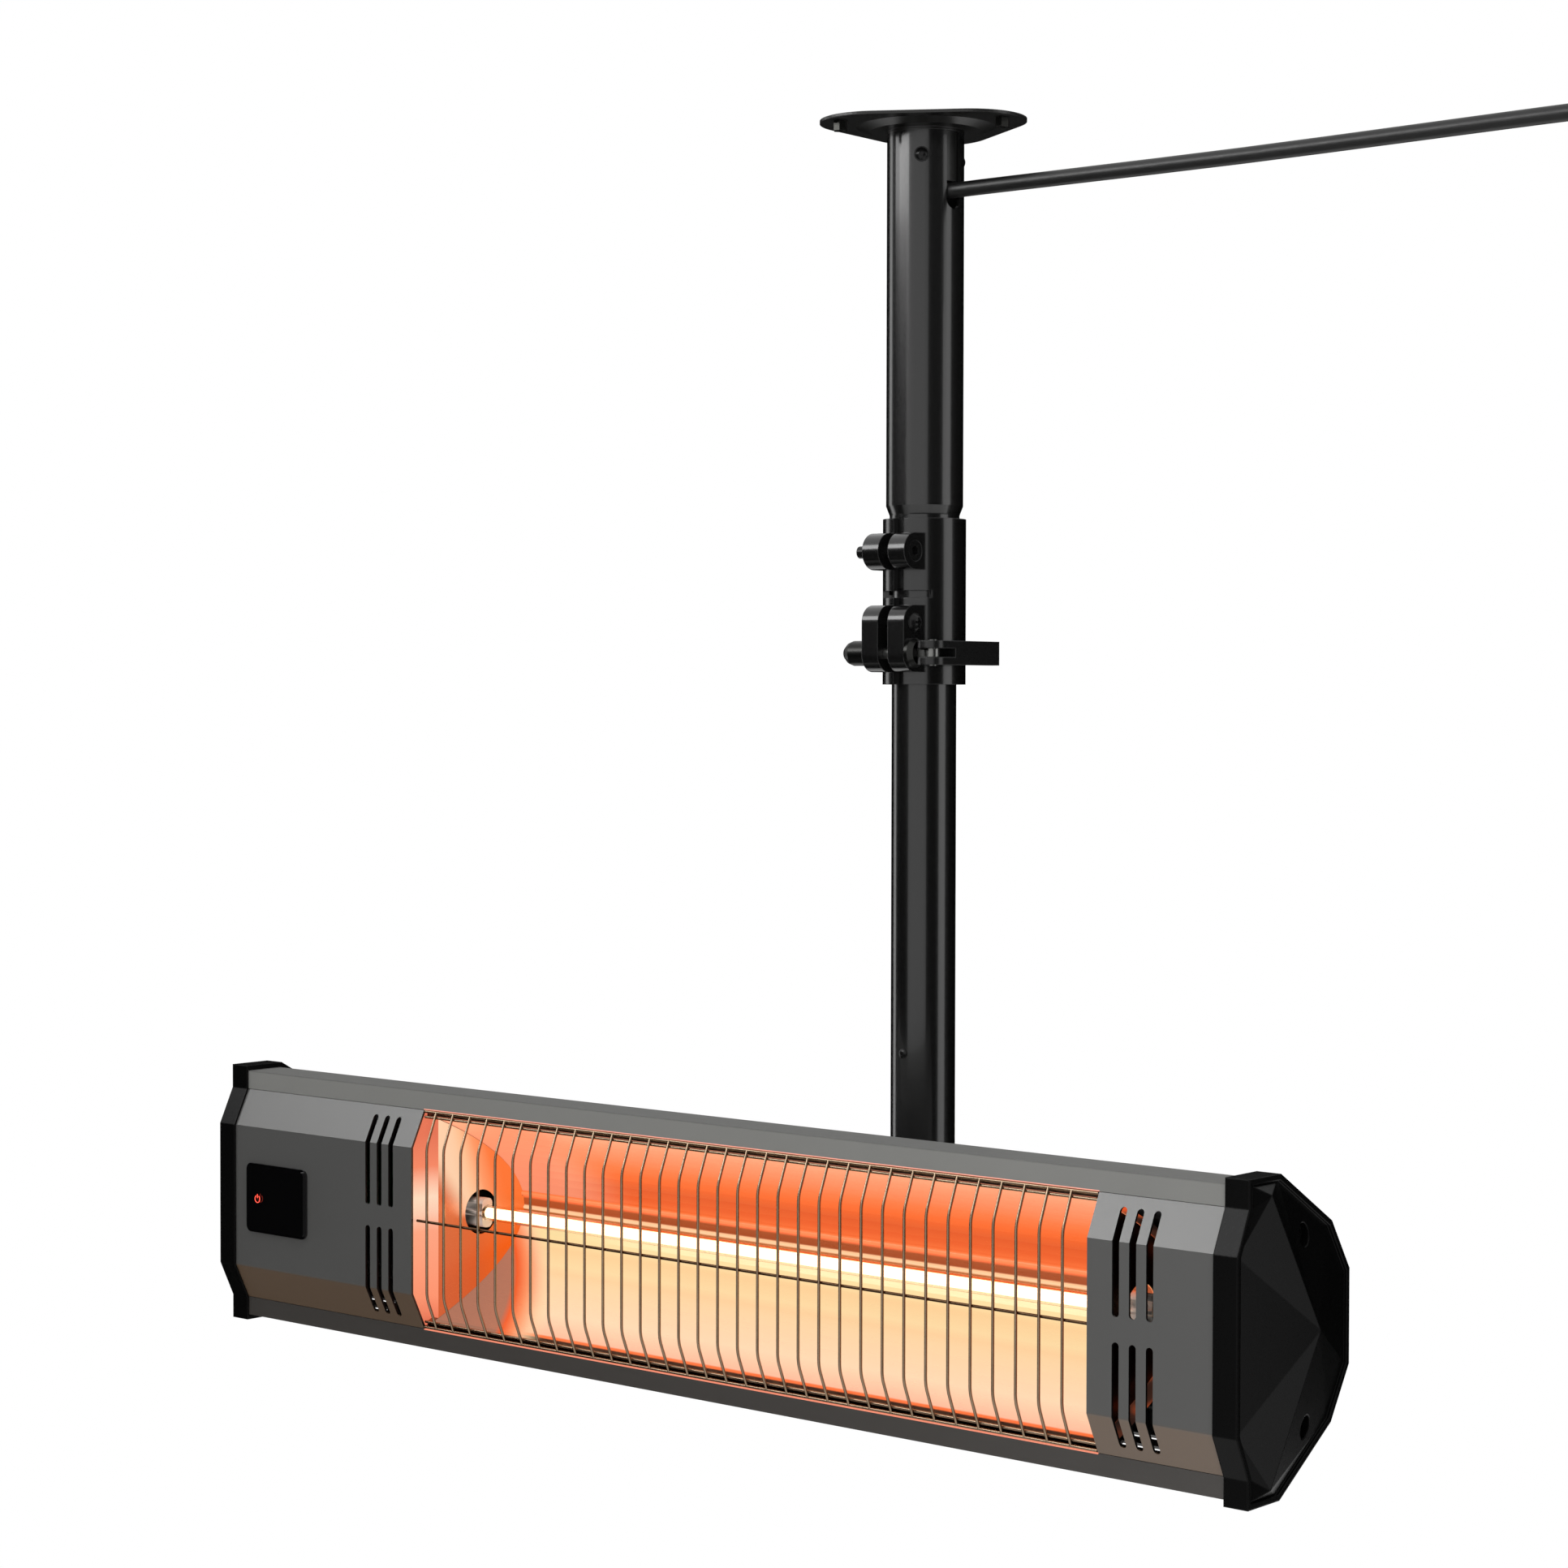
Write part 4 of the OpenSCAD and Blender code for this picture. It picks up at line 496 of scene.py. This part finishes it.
# %% Painted reflection across the reflector
# Places are heights from the lamp in metres. The lower half is a cream painted reflection, with the ridge's
# soft shade painted in it. At the lip it starts with a painted dark gap and a painted orange line.
LOWER_HALF = [
    (-0.07, "#0c0a0c"), (-0.0647, "#0c0a0c"), (-0.0645, "#f0622c"), (-0.0637, "#f0662e"), (-0.0634, "#eeb498"),
    (-0.055, "#f3d3b0"), (-0.04, "#f3d5a6"), (-0.036, "#f3d09e"),
    (-0.032, "#f3d9a4"), (-0.024, "#f3d099"), (-0.018, "#f3dca1"), (-0.004, "#f3dca1")]
# Between the ridges the channel is painted brown as painted shade, with a painted highlight on each ridge.
CHANNEL = [
    (-0.004, "#99451c"), (-0.0028, "#aa5a28"), (-0.0018, "#fecc9e"), (-0.0004, "#fec292"), (0.0006, "#a44821"),
    (0.0045, "#a64d26"), (0.0056, "#f66d3d"), (0.0085, "#fc8f5a"), (0.0098, "#f3692e")]
# The upper half's painted reflection is deep orange at the ridge and fades to salmon at the lip.
UPPER_HALF = [
    (0.0098, "#f2662c"), (0.014, "#e65217"), (0.022, "#da4404"), (0.03, "#ed5100"), (0.038, "#f2622c"),
    (0.046, "#f3754d"), (0.056, "#f38562"), (0.064, "#f39373"), (0.07, "#fbb292")]
# Near the left end the lower half has a painted shadow and a painted reflection of the end plate: brown,
# with an orange rim along a slanting line. These places are distances from that line.
SLANTED_SHADOW = [
    (-0.02, "#9c705c"), (-0.002, "#a5725c"), (0.002, "#ea5b29"), (0.008, "#f38c5c"), (0.016, "#f3bb92"),
    (0.026, "#f3ddae")]
print("stops:", len(LOWER_HALF), len(CHANNEL), len(UPPER_HALF), len(SLANTED_SHADOW))

# %% Reflector
finishes["reflector"] = finish("bright_rolled_reflector", "#5b4c44", 0.3, metallic=1.0, grain=1.0, depth=0.003,
                               stretch=(0.05, 1, 1))
CHANNEL_LOW, CHANNEL_HIGH = CHANNEL[0][0], CHANNEL[-1][0]
# The glow that the sheet mirrors is painted on it as its own light, so it is there in every view and pose.
# The sheet's middle runs along a parabola, and only the side in front of it glows.
SHEET_BACK, SHEET_DEPTH, SHEET_HALF = -0.1536, 0.0815, 0.066
# Past the end plates the painted light is only patches of red, about 26 mm across.
PLATE_INNER, PATCH_SCALE = 0.259, 38.0
# The upper half pales between these distances to the left of the pole. The shadow's line crosses the lamp's
# height at SLANT_X and falls by SLANT towards +X. The shadow fades out between the last two distances from it.
PALE_START, PALE_END, SLANT, SLANT_X, FADE_START, FADE_END = 0.105, 0.172, 0.7, -0.249, 0.012, 0.028
tree, shader, place, axes = opened(finishes["reflector"])
across = leaning(tree, axes, -HEATER_Z, Z=1.0)
near_end = along(tree, leaning(tree, axes, 0.0, X=-1.0), PALE_START, PALE_END)
upper = layered(tree, ramped(tree, across, UPPER_HALF), (near_end, linear("#ef8e6c")))
slanting = leaning(tree, axes, -HEATER_Z - SLANT * SLANT_X, Z=1.0, X=SLANT)
cream = along(tree, slanting, FADE_START, FADE_END)
lower = layered(tree, ramped(tree, slanting, SLANTED_SHADOW), (cream, ramped(tree, across, LOWER_HALF)))
above = add(tree, "ShaderNodeMath", {0: across, 1: CHANNEL_LOW}, operation="GREATER_THAN").outputs[0]
over = add(tree, "ShaderNodeMath", {0: across, 1: CHANNEL_HIGH}, operation="GREATER_THAN").outputs[0]
glowing = layered(tree, lower, (above, ramped(tree, across, CHANNEL)), (over, upper))
square = add(tree, "ShaderNodeMath", {0: across, 1: across}, operation="MULTIPLY").outputs[0]
sheet = add(tree, "ShaderNodeMath", {0: square, 1: SHEET_DEPTH / SHEET_HALF ** 2, 2: axes.outputs["Y"]},
            operation="MULTIPLY_ADD").outputs[0]
behind = add(tree, "ShaderNodeMath", {0: sheet, 1: SHEET_BACK}, operation="GREATER_THAN").outputs[0]
away = off_middle(tree, axes)
covered = add(tree, "ShaderNodeMath", {0: away, 1: PLATE_INNER}, operation="GREATER_THAN").outputs[0]
patches = add(tree, "ShaderNodeTexNoise", {"Vector": place, "Scale": PATCH_SCALE, "Detail": 1.0})
dim = ramped(tree, patches.outputs["Fac"], [
    (0.30, "#15100e"), (0.50, "#3a221a"), (0.62, "#8e4023"), (0.75, "#e4572a")])
light = layered(tree, glowing, (covered, dim), (behind, (0, 0, 0, 1)))
tree.links.new(light, shader.inputs["Emission Color"])
# The sheet's lower edge is painted almost black, for the dark gap that the photograph shows along the lip.
# That black is painted shade, not the sheet's own colour.
GAP_TOP, GAP_FULL = -0.0645, -0.0649
plain = shader.inputs["Base Color"].links[0].from_socket
in_gap = along(tree, across, GAP_TOP, GAP_FULL)
tree.links.new(layered(tree, plain, (in_gap, linear("#07070a"))), shader.inputs["Base Color"])
shader.inputs["Emission Strength"].default_value = 1.0

# %% Painted light on the end plates
# Beside the window, by height from the lamp: one painted bright spot a little above it.
PLATE_STRIP = [
    (-0.065, "#e37658"), (-0.05, "#f3916e"), (-0.008, "#f39f7f"), (0.004, "#f3c4ab"), (0.014, "#f3d4b9"),
    (0.024, "#f3b599"), (0.034, "#ea8463"), (0.055, "#da7054")]
# Behind the fold, below the lamp, by depth: deep orange painted light.
PLATE_DEEP = [(-0.228, "#ca5b32"), (-0.2, "#d15623"), (-0.18, "#e35a16"), (-0.165, "#e95b10")]
# Above the lamp a painted fan of cream light fades to orange towards the back.
PLATE_FAN = [
    (-0.208, "#f3cda9"), (-0.201, "#f3c8a1"), (-0.195, "#f3bd91"), (-0.19, "#f3ac7f"), (-0.185, "#f39665"),
    (-0.18, "#f38955"), (-0.174, "#f3773c"), (-0.166, "#f37030")]
print("stops:", len(PLATE_STRIP), len(PLATE_DEEP), len(PLATE_FAN))

# %% End plates of the reflector
# The lamp's light on the plates is painted on them as their own light, so it is there in every view.
finishes["end_plate"] = finish("bright_end_plate", "#5b4c44", 0.3, metallic=1.0, grain=1.2, depth=0.003)
STRIP_INNER, FOLD_Y, FAN_SLANT = 0.2643, -0.2317, 0.35
# The fan begins along a slanting line in front of the hole, and nowhere below the lamp.
EDGE_SLANT, EDGE_Y, EDGE_SOFT, LAMP_LOW, LAMP_HIGH = 1.2, -0.220, 0.030, -0.004, 0.002
tree, shader, _, axes = opened(finishes["end_plate"])
across = leaning(tree, axes, -HEATER_Z, Z=1.0)
strip = ramped(tree, across, PLATE_STRIP)
deep = ramped(tree, axes.outputs["Y"], PLATE_DEEP)
fan = ramped(tree, leaning(tree, axes, -HEATER_Z * FAN_SLANT, Y=1.0, Z=FAN_SLANT), PLATE_FAN)
past_edge = leaning(tree, axes, -HEATER_Z - EDGE_SLANT * EDGE_Y, Z=1.0, Y=EDGE_SLANT)
begun = along(tree, past_edge, 0.0, EDGE_SOFT)
above = along(tree, across, LAMP_LOW, LAMP_HIGH)
lit = add(tree, "ShaderNodeMath", {0: begun, 1: above}, operation="MULTIPLY").outputs[0]
behind = add(tree, "ShaderNodeMath", {0: axes.outputs["Y"], 1: FOLD_Y}, operation="GREATER_THAN").outputs[0]
glowing = layered(tree, strip, (behind, layered(tree, deep, (lit, fan))))
# Only the sides that face the lamp get the painted light. Behind its fold the plate stands further in.
feeds = {0: behind, 1: PLATE_INNER - STRIP_INNER, 2: STRIP_INNER}
limit = add(tree, "ShaderNodeMath", feeds, operation="MULTIPLY_ADD").outputs[0]
away = off_middle(tree, axes)
outside = add(tree, "ShaderNodeMath", {0: away, 1: limit}, operation="GREATER_THAN").outputs[0]
tree.links.new(layered(tree, glowing, (outside, (0, 0, 0, 1))), shader.inputs["Emission Color"])
shader.inputs["Emission Strength"].default_value = 1.0
print("glowing pieces done")

# %% Window and indicator
finishes["window"] = finish("dark_tinted_window", "#070708", 0.1, grain=2.0, depth=0.003,
                            **{"Coat Weight": 0.5})
finishes["light"] = finish("lit_indicator", "#ff3a28", 0.3, grain=0.5, depth=0.005,
                           **{"Emission Color": linear("#ff5a46"), "Emission Strength": 1.2})

# %% Give every node its finish
GIVEN = {
    "plate": ["ceiling_plate"], "zinc": ["ceiling_nuts"], "tube": ["upper_tube", "lower_tube"],
    "oxide": ["socket_screws", "foot_screws", "guide_screw", "collar_bolt", "pivot_screws", "yoke_screws",
              "cap_screws"],
    "casting": ["clamp_collar"], "bolt": ["release_bolt", "lever_pin"],
    "washer": ["release_nut", "release_washer"], "lever": ["release_lever"], "acetal": ["glide_ring"],
    "foot": ["pole_foot", "tilt_yoke"],
    "rubber": ["feed_cable", "coiled_cable", "tail_cable", "link_cable", "heater_loom", "power_cord"],
    "moulded": ["cord_gland", "box_base", "box_cover", "heater_gland"],
    "terminal": ["box_terminals", "terminal_block"], "fibre": ["friction_discs"], "housing": ["housing"],
    "reflector": ["reflector"], "end_plate": ["end_plate_left", "end_plate_right"],
    "quartz": ["lamp_glass"], "element": ["filament"], "ceramic": ["lamp_cap_left", "lamp_cap_right"],
    "galvanised": ["lamp_bracket_left", "lamp_bracket_right"], "sleeve": ["lamp_leads"],
    "covers": ["cover_left", "cover_right"], "caps": ["end_cap_left", "end_cap_right"],
    "gasket": ["cap_gaskets"], "window": ["receiver_window", "power_light"],
    "board": ["receiver_board", "control_board"]}
dressed = set()
for kind, names in GIVEN.items():
    for name in names:
        dressed.add(name)
        for held in nodes[name].material_slots:
            held.material = finishes[kind]
print("left plain:", sorted(set(nodes) - dressed - {"guard"}))

# %% [markdown]
# The guard is 33 bent wires on five long rods. One wire is a line of points with two rounded bends, and
# Geometry Nodes repeat it along the window and give it thickness. A tree is the right tool here, because
# one pitch and one wire size rule the whole guard.


# %% Geometry Nodes tree for wires in a row
def wire_row_tree():
    """A tree that repeats a line along a step and turns each into round wire."""
    tree = bpy.data.node_groups.new("wires_in_a_row", "GeometryNodeTree")
    face = tree.interface
    face.new_socket("Geometry", in_out="OUTPUT", socket_type="NodeSocketGeometry")
    for name, kind in (("Line", "Geometry"), ("Count", "Int"), ("Step", "Vector"), ("Wire radius", "Float"),
                       ("Sides", "Int"), ("Finish", "Material")):
        face.new_socket(name, in_out="INPUT", socket_type="NodeSocket" + kind)
    given = add(tree, "NodeGroupInput").outputs
    row = add(tree, "GeometryNodeMeshLine", {"Count": given["Count"], "Offset": given["Step"]}, mode="OFFSET")
    line = add(tree, "GeometryNodeMeshToCurve", {"Mesh": given["Line"]})
    section = add(tree, "GeometryNodeCurvePrimitiveCircle", {
        "Resolution": given["Sides"], "Radius": given["Wire radius"]})
    wire = add(tree, "GeometryNodeCurveToMesh", {
        "Curve": line.outputs["Curve"], "Profile Curve": section.outputs["Curve"], "Fill Caps": True})
    copies = add(tree, "GeometryNodeInstanceOnPoints", {
        "Points": row.outputs["Mesh"], "Instance": wire.outputs["Mesh"]})
    real = add(tree, "GeometryNodeRealizeInstances", {"Geometry": copies.outputs["Instances"]})
    dyed = add(tree, "GeometryNodeSetMaterial", {
        "Geometry": real.outputs["Geometry"], "Material": given["Finish"]})
    add(tree, "NodeGroupOutput", {"Geometry": dyed.outputs["Geometry"]})
    return tree


def grown(name, lines, tree, **inputs):
    """Runs a tree on some lines of points and returns its result as a plain mesh object."""
    mesh = bpy.data.meshes.new(name)
    points = [tuple(p) for line in lines for p in line]
    edges, first = [], 0
    for line in lines:
        edges += [(first + i, first + i + 1) for i in range(len(line) - 1)]
        first += len(line)
    mesh.from_pydata(points, edges, [])
    holder = bpy.data.objects.new(name, mesh)
    bpy.context.scene.collection.objects.link(holder)
    modifier = holder.modifiers.new("grown", "NODES")
    modifier.node_group = tree
    for socket in tree.interface.items_tree:
        if socket.in_out == "INPUT" and socket.name in inputs:
            modifier[socket.identifier] = inputs[socket.name]
    bpy.context.view_layer.update()
    evaluated = holder.evaluated_get(bpy.context.evaluated_depsgraph_get())
    ready = bpy.data.meshes.new_from_object(evaluated)
    holder.modifiers.remove(modifier)
    holder.data = ready
    ready.name = name
    bpy.data.meshes.remove(mesh)
    return holder


wires_in_a_row = wire_row_tree()
print("tree inputs:", [s.name for s in wires_in_a_row.interface.items_tree if s.in_out == "INPUT"])


# %% Guard
def eased(corners, radius, steps=6):
    """A line through corners, with each inner corner rounded."""
    line = [Vector(corners[0])]
    for before, here, after in zip(corners, corners[1:], corners[2:]):
        here = Vector(here)
        into, out = (Vector(before) - here).normalized(), (Vector(after) - here).normalized()
        half = into.angle(out) / 2
        cut = radius / math.tan(half)
        start, end = here + into * cut, here + out * cut
        for i in range(steps + 1):
            t = i / steps
            line.append((1 - t) ** 2 * start + 2 * t * (1 - t) * here + t * t * end)
    return line + [Vector(corners[-1])]


# Bright steel wire, drawn and then browned by the lamp's heat: a warm metal.
finishes["wire"] = finish("heat_tinted_bright_wire", "#95806a", 0.3, metallic=1.0, grain=0.8, depth=0.006,
                          mottle=0.2, patch=12)
# The middle rod is the wires' metal painted darker: painted shade, for its dark line in front of the glow.
finishes["rod"] = finish("rod_with_painted_shade", "#54402e", 0.34, metallic=1.0, grain=0.8, depth=0.006,
                         mottle=0.25, patch=9)
WIRE_RADIUS, WIRE_COUNT = 0.0009, 33
FIRST_WIRE, WIRE_PITCH = -0.2064, 0.015553
# A wire's flat front and its bent ends: their Y, and half their heights. Its corners are rounded.
FRONT_Y, END_Y, FRONT_HALF, END_HALF, CORNER = -0.2475, -0.2390, 0.0481, 0.0693, 0.022
profile = [(END_Y, -END_HALF), (FRONT_Y, -FRONT_HALF), (FRONT_Y, FRONT_HALF), (END_Y, END_HALF)]
guard_corners = [(FIRST_WIRE, y, HEATER_Z + z) for y, z in profile]
guard_wires = grown("guard_wires", [eased(guard_corners, CORNER, 8)], wires_in_a_row, **{
    "Count": WIRE_COUNT, "Step": (WIRE_PITCH, 0, 0), "Wire radius": WIRE_RADIUS, "Sides": 12,
    "Finish": finishes["wire"]})
# The rods lie behind the wires and are welded to them: one in the middle, and two along each bent edge.
slope = Vector((0, END_Y - FRONT_Y, END_HALF - FRONT_HALF)).normalized()
WELD, ROD_PITCH, ROD_X = 0.0004, 0.0032, (-0.2168, 0.04, 0.3088)
ROD_BEHIND = 2 * WIRE_RADIUS - WELD
rods = [(FRONT_Y + ROD_BEHIND, 0.0)]
for side in (-1, 1):
    for k in (0, 1):
        y = END_Y - k * ROD_PITCH * slope.y + k * ROD_BEHIND * slope.z
        z = END_HALF - k * ROD_PITCH * slope.z - k * ROD_BEHIND * slope.y
        rods.append((y, side * z))
rod_lines = [[Vector((x, y, HEATER_Z + z)) for x in ROD_X] for y, z in rods]
single_rod = {"Count": 1, "Step": (0, 0, 0), "Wire radius": WIRE_RADIUS, "Sides": 12}
middle_rod = grown("guard_middle_rod", rod_lines[:1], wires_in_a_row, Finish=finishes["rod"], **single_rod)
edge_rods = grown("guard_edge_rods", rod_lines[1:], wires_in_a_row, Finish=finishes["wire"], **single_rod)
for piece in (guard_wires, middle_rod, edge_rods):
    for polygon in piece.data.polygons:
        polygon.use_smooth = True
    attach(piece, "heater")
    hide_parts("guard")
print("guard faces:", [len(piece.data.polygons) for piece in (guard_wires, middle_rod, edge_rods)])

# %% [markdown]
# The lamp's ceramic bases reach through the holes of the end plates. Each is a flat block with rounded
# corners and a bore for the quartz tube. Its section is two loops of points with the same number of corners,
# so one ring of faces closes each end, and two rings make the outer and the inner wall.


# %% Ceramic bases
def ceramic_base(name, first, last):
    """A glazed block from one X to another, with a bore along the lamp."""
    shape = bmesh.new()
    loops = {}
    for x in (first, last):
        for part in ("outside", "bore"):
            corners = []
            for i in range(BASE_CORNERS):
                angle = math.tau * i / BASE_CORNERS
                y, z = BASE_ROUND * math.cos(angle), BASE_ROUND * math.sin(angle)
                y += math.copysign(BASE_DEPTH / 2 - BASE_ROUND, y)
                z += math.copysign(BASE_HEIGHT / 2 - BASE_ROUND, z)
                if part == "bore":
                    y, z = BORE * math.cos(angle), BORE * math.sin(angle)
                corners.append(shape.verts.new((x, LAMP_Y + y, HEATER_Z + z)))
            loops[x, part] = corners
    # The two walls along the lamp are shaded smooth, and the two ends stay flat.
    outside, outside_end = loops[first, "outside"], loops[last, "outside"]
    bore, bore_end = loops[first, "bore"], loops[last, "bore"]
    walls = [(outside, outside_end, True), (bore_end, bore, True), (outside_end, bore_end, False),
             (bore, outside, False)]
    for a, b, smooth in walls:
        for i in range(BASE_CORNERS):
            j = (i + 1) % BASE_CORNERS
            shape.faces.new((a[i], a[j], b[j], b[i])).smooth = smooth
    bmesh.ops.recalc_face_normals(shape, faces=shape.faces)
    mesh = bpy.data.meshes.new(name)
    shape.to_mesh(mesh)
    shape.free()
    mesh.materials.append(finishes["ceramic"])
    base = bpy.data.objects.new(name, mesh)
    bpy.context.scene.collection.objects.link(base)
    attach(base, "heater")
    return base


BASE_CORNERS, BASE_ROUND, BASE_DEPTH, BASE_HEIGHT = 48, 0.0036, 0.009, 0.0190
BORE, LAMP_Y, BASE_FACE, BASE_END = 0.00505, -0.1935, 0.2530, 0.2700
for name, side in (("ceramic_base_left", -1), ("ceramic_base_right", 1)):
    base = ceramic_base(name, WINDOW_MID + side * BASE_FACE, WINDOW_MID + side * BASE_END)
print("ceramic base faces:", len(base.data.polygons))

# %% [markdown]
# The receiver window carries one small red power sign: a broken ring with a stroke in its gap. It is a
# general sign for power, and it glows. It stands about a millimetre in front of the window's face.

# %% Power sign
SIGN_X, SIGN_Y, SIGN_R, SIGN_LINE = -0.3637, -0.2543, 0.0024, 0.00025
SIGN_GAP, SIGN_STEPS, STROKE = 70, 24, (0.0006, 0.0018, 0.0032)
arc = []
for i in range(SIGN_STEPS + 1):
    angle = math.radians(90 + SIGN_GAP / 2 + (360 - SIGN_GAP) * i / SIGN_STEPS)
    arc.append(Vector((SIGN_X + SIGN_R * math.cos(angle), SIGN_Y, HEATER_Z + SIGN_R * math.sin(angle))))
stroke = [Vector((SIGN_X, SIGN_Y, HEATER_Z + z)) for z in STROKE]
power_sign = grown("power_sign", [arc, stroke], wires_in_a_row, **{
    "Count": 1, "Step": (0, 0, 0), "Wire radius": SIGN_LINE, "Sides": 8, "Finish": finishes["light"]})
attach(power_sign, "heater")
print("power sign faces:", len(power_sign.data.polygons))

# %% [markdown]
# The coiled lead inside the pole lets the lower tube slide. In the frame it is a plain cylinder. Here it is
# a real helix.

# %% Coiled lead
coil_low, coil_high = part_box("coiled_cable")
COIL_WIRE, COIL_TURNS, TURN_STEPS = 0.0026, 18, 20
COIL_LENGTH, SLIDE = coil_high.z - coil_low.z, 0.170
coil_r = (coil_high.x - coil_low.x) / 2 - COIL_WIRE
coil_points = []
for i in range(COIL_TURNS * TURN_STEPS + 1):
    angle = math.tau * i / TURN_STEPS
    z = coil_low.z + COIL_WIRE + (COIL_LENGTH - 2 * COIL_WIRE) * i / (COIL_TURNS * TURN_STEPS)
    coil_points.append(Vector((coil_r * math.cos(angle), coil_r * math.sin(angle), z)))
coiled_lead = grown("coiled_lead", [coil_points], wires_in_a_row, **{
    "Count": 1, "Step": (0, 0, 0), "Wire radius": COIL_WIRE, "Sides": 10, "Finish": finishes["rubber"]})
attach(coiled_lead, nodes["coiled_cable"]["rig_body"])
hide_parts("coiled_cable")
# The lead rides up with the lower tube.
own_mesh(coiled_lead)
print("coil length:", round(COIL_LENGTH, 4), "radius:", round(coil_r, 4))

# %% Sizes
low, high = (list(corner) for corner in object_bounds())
print("visual box:", low, high)
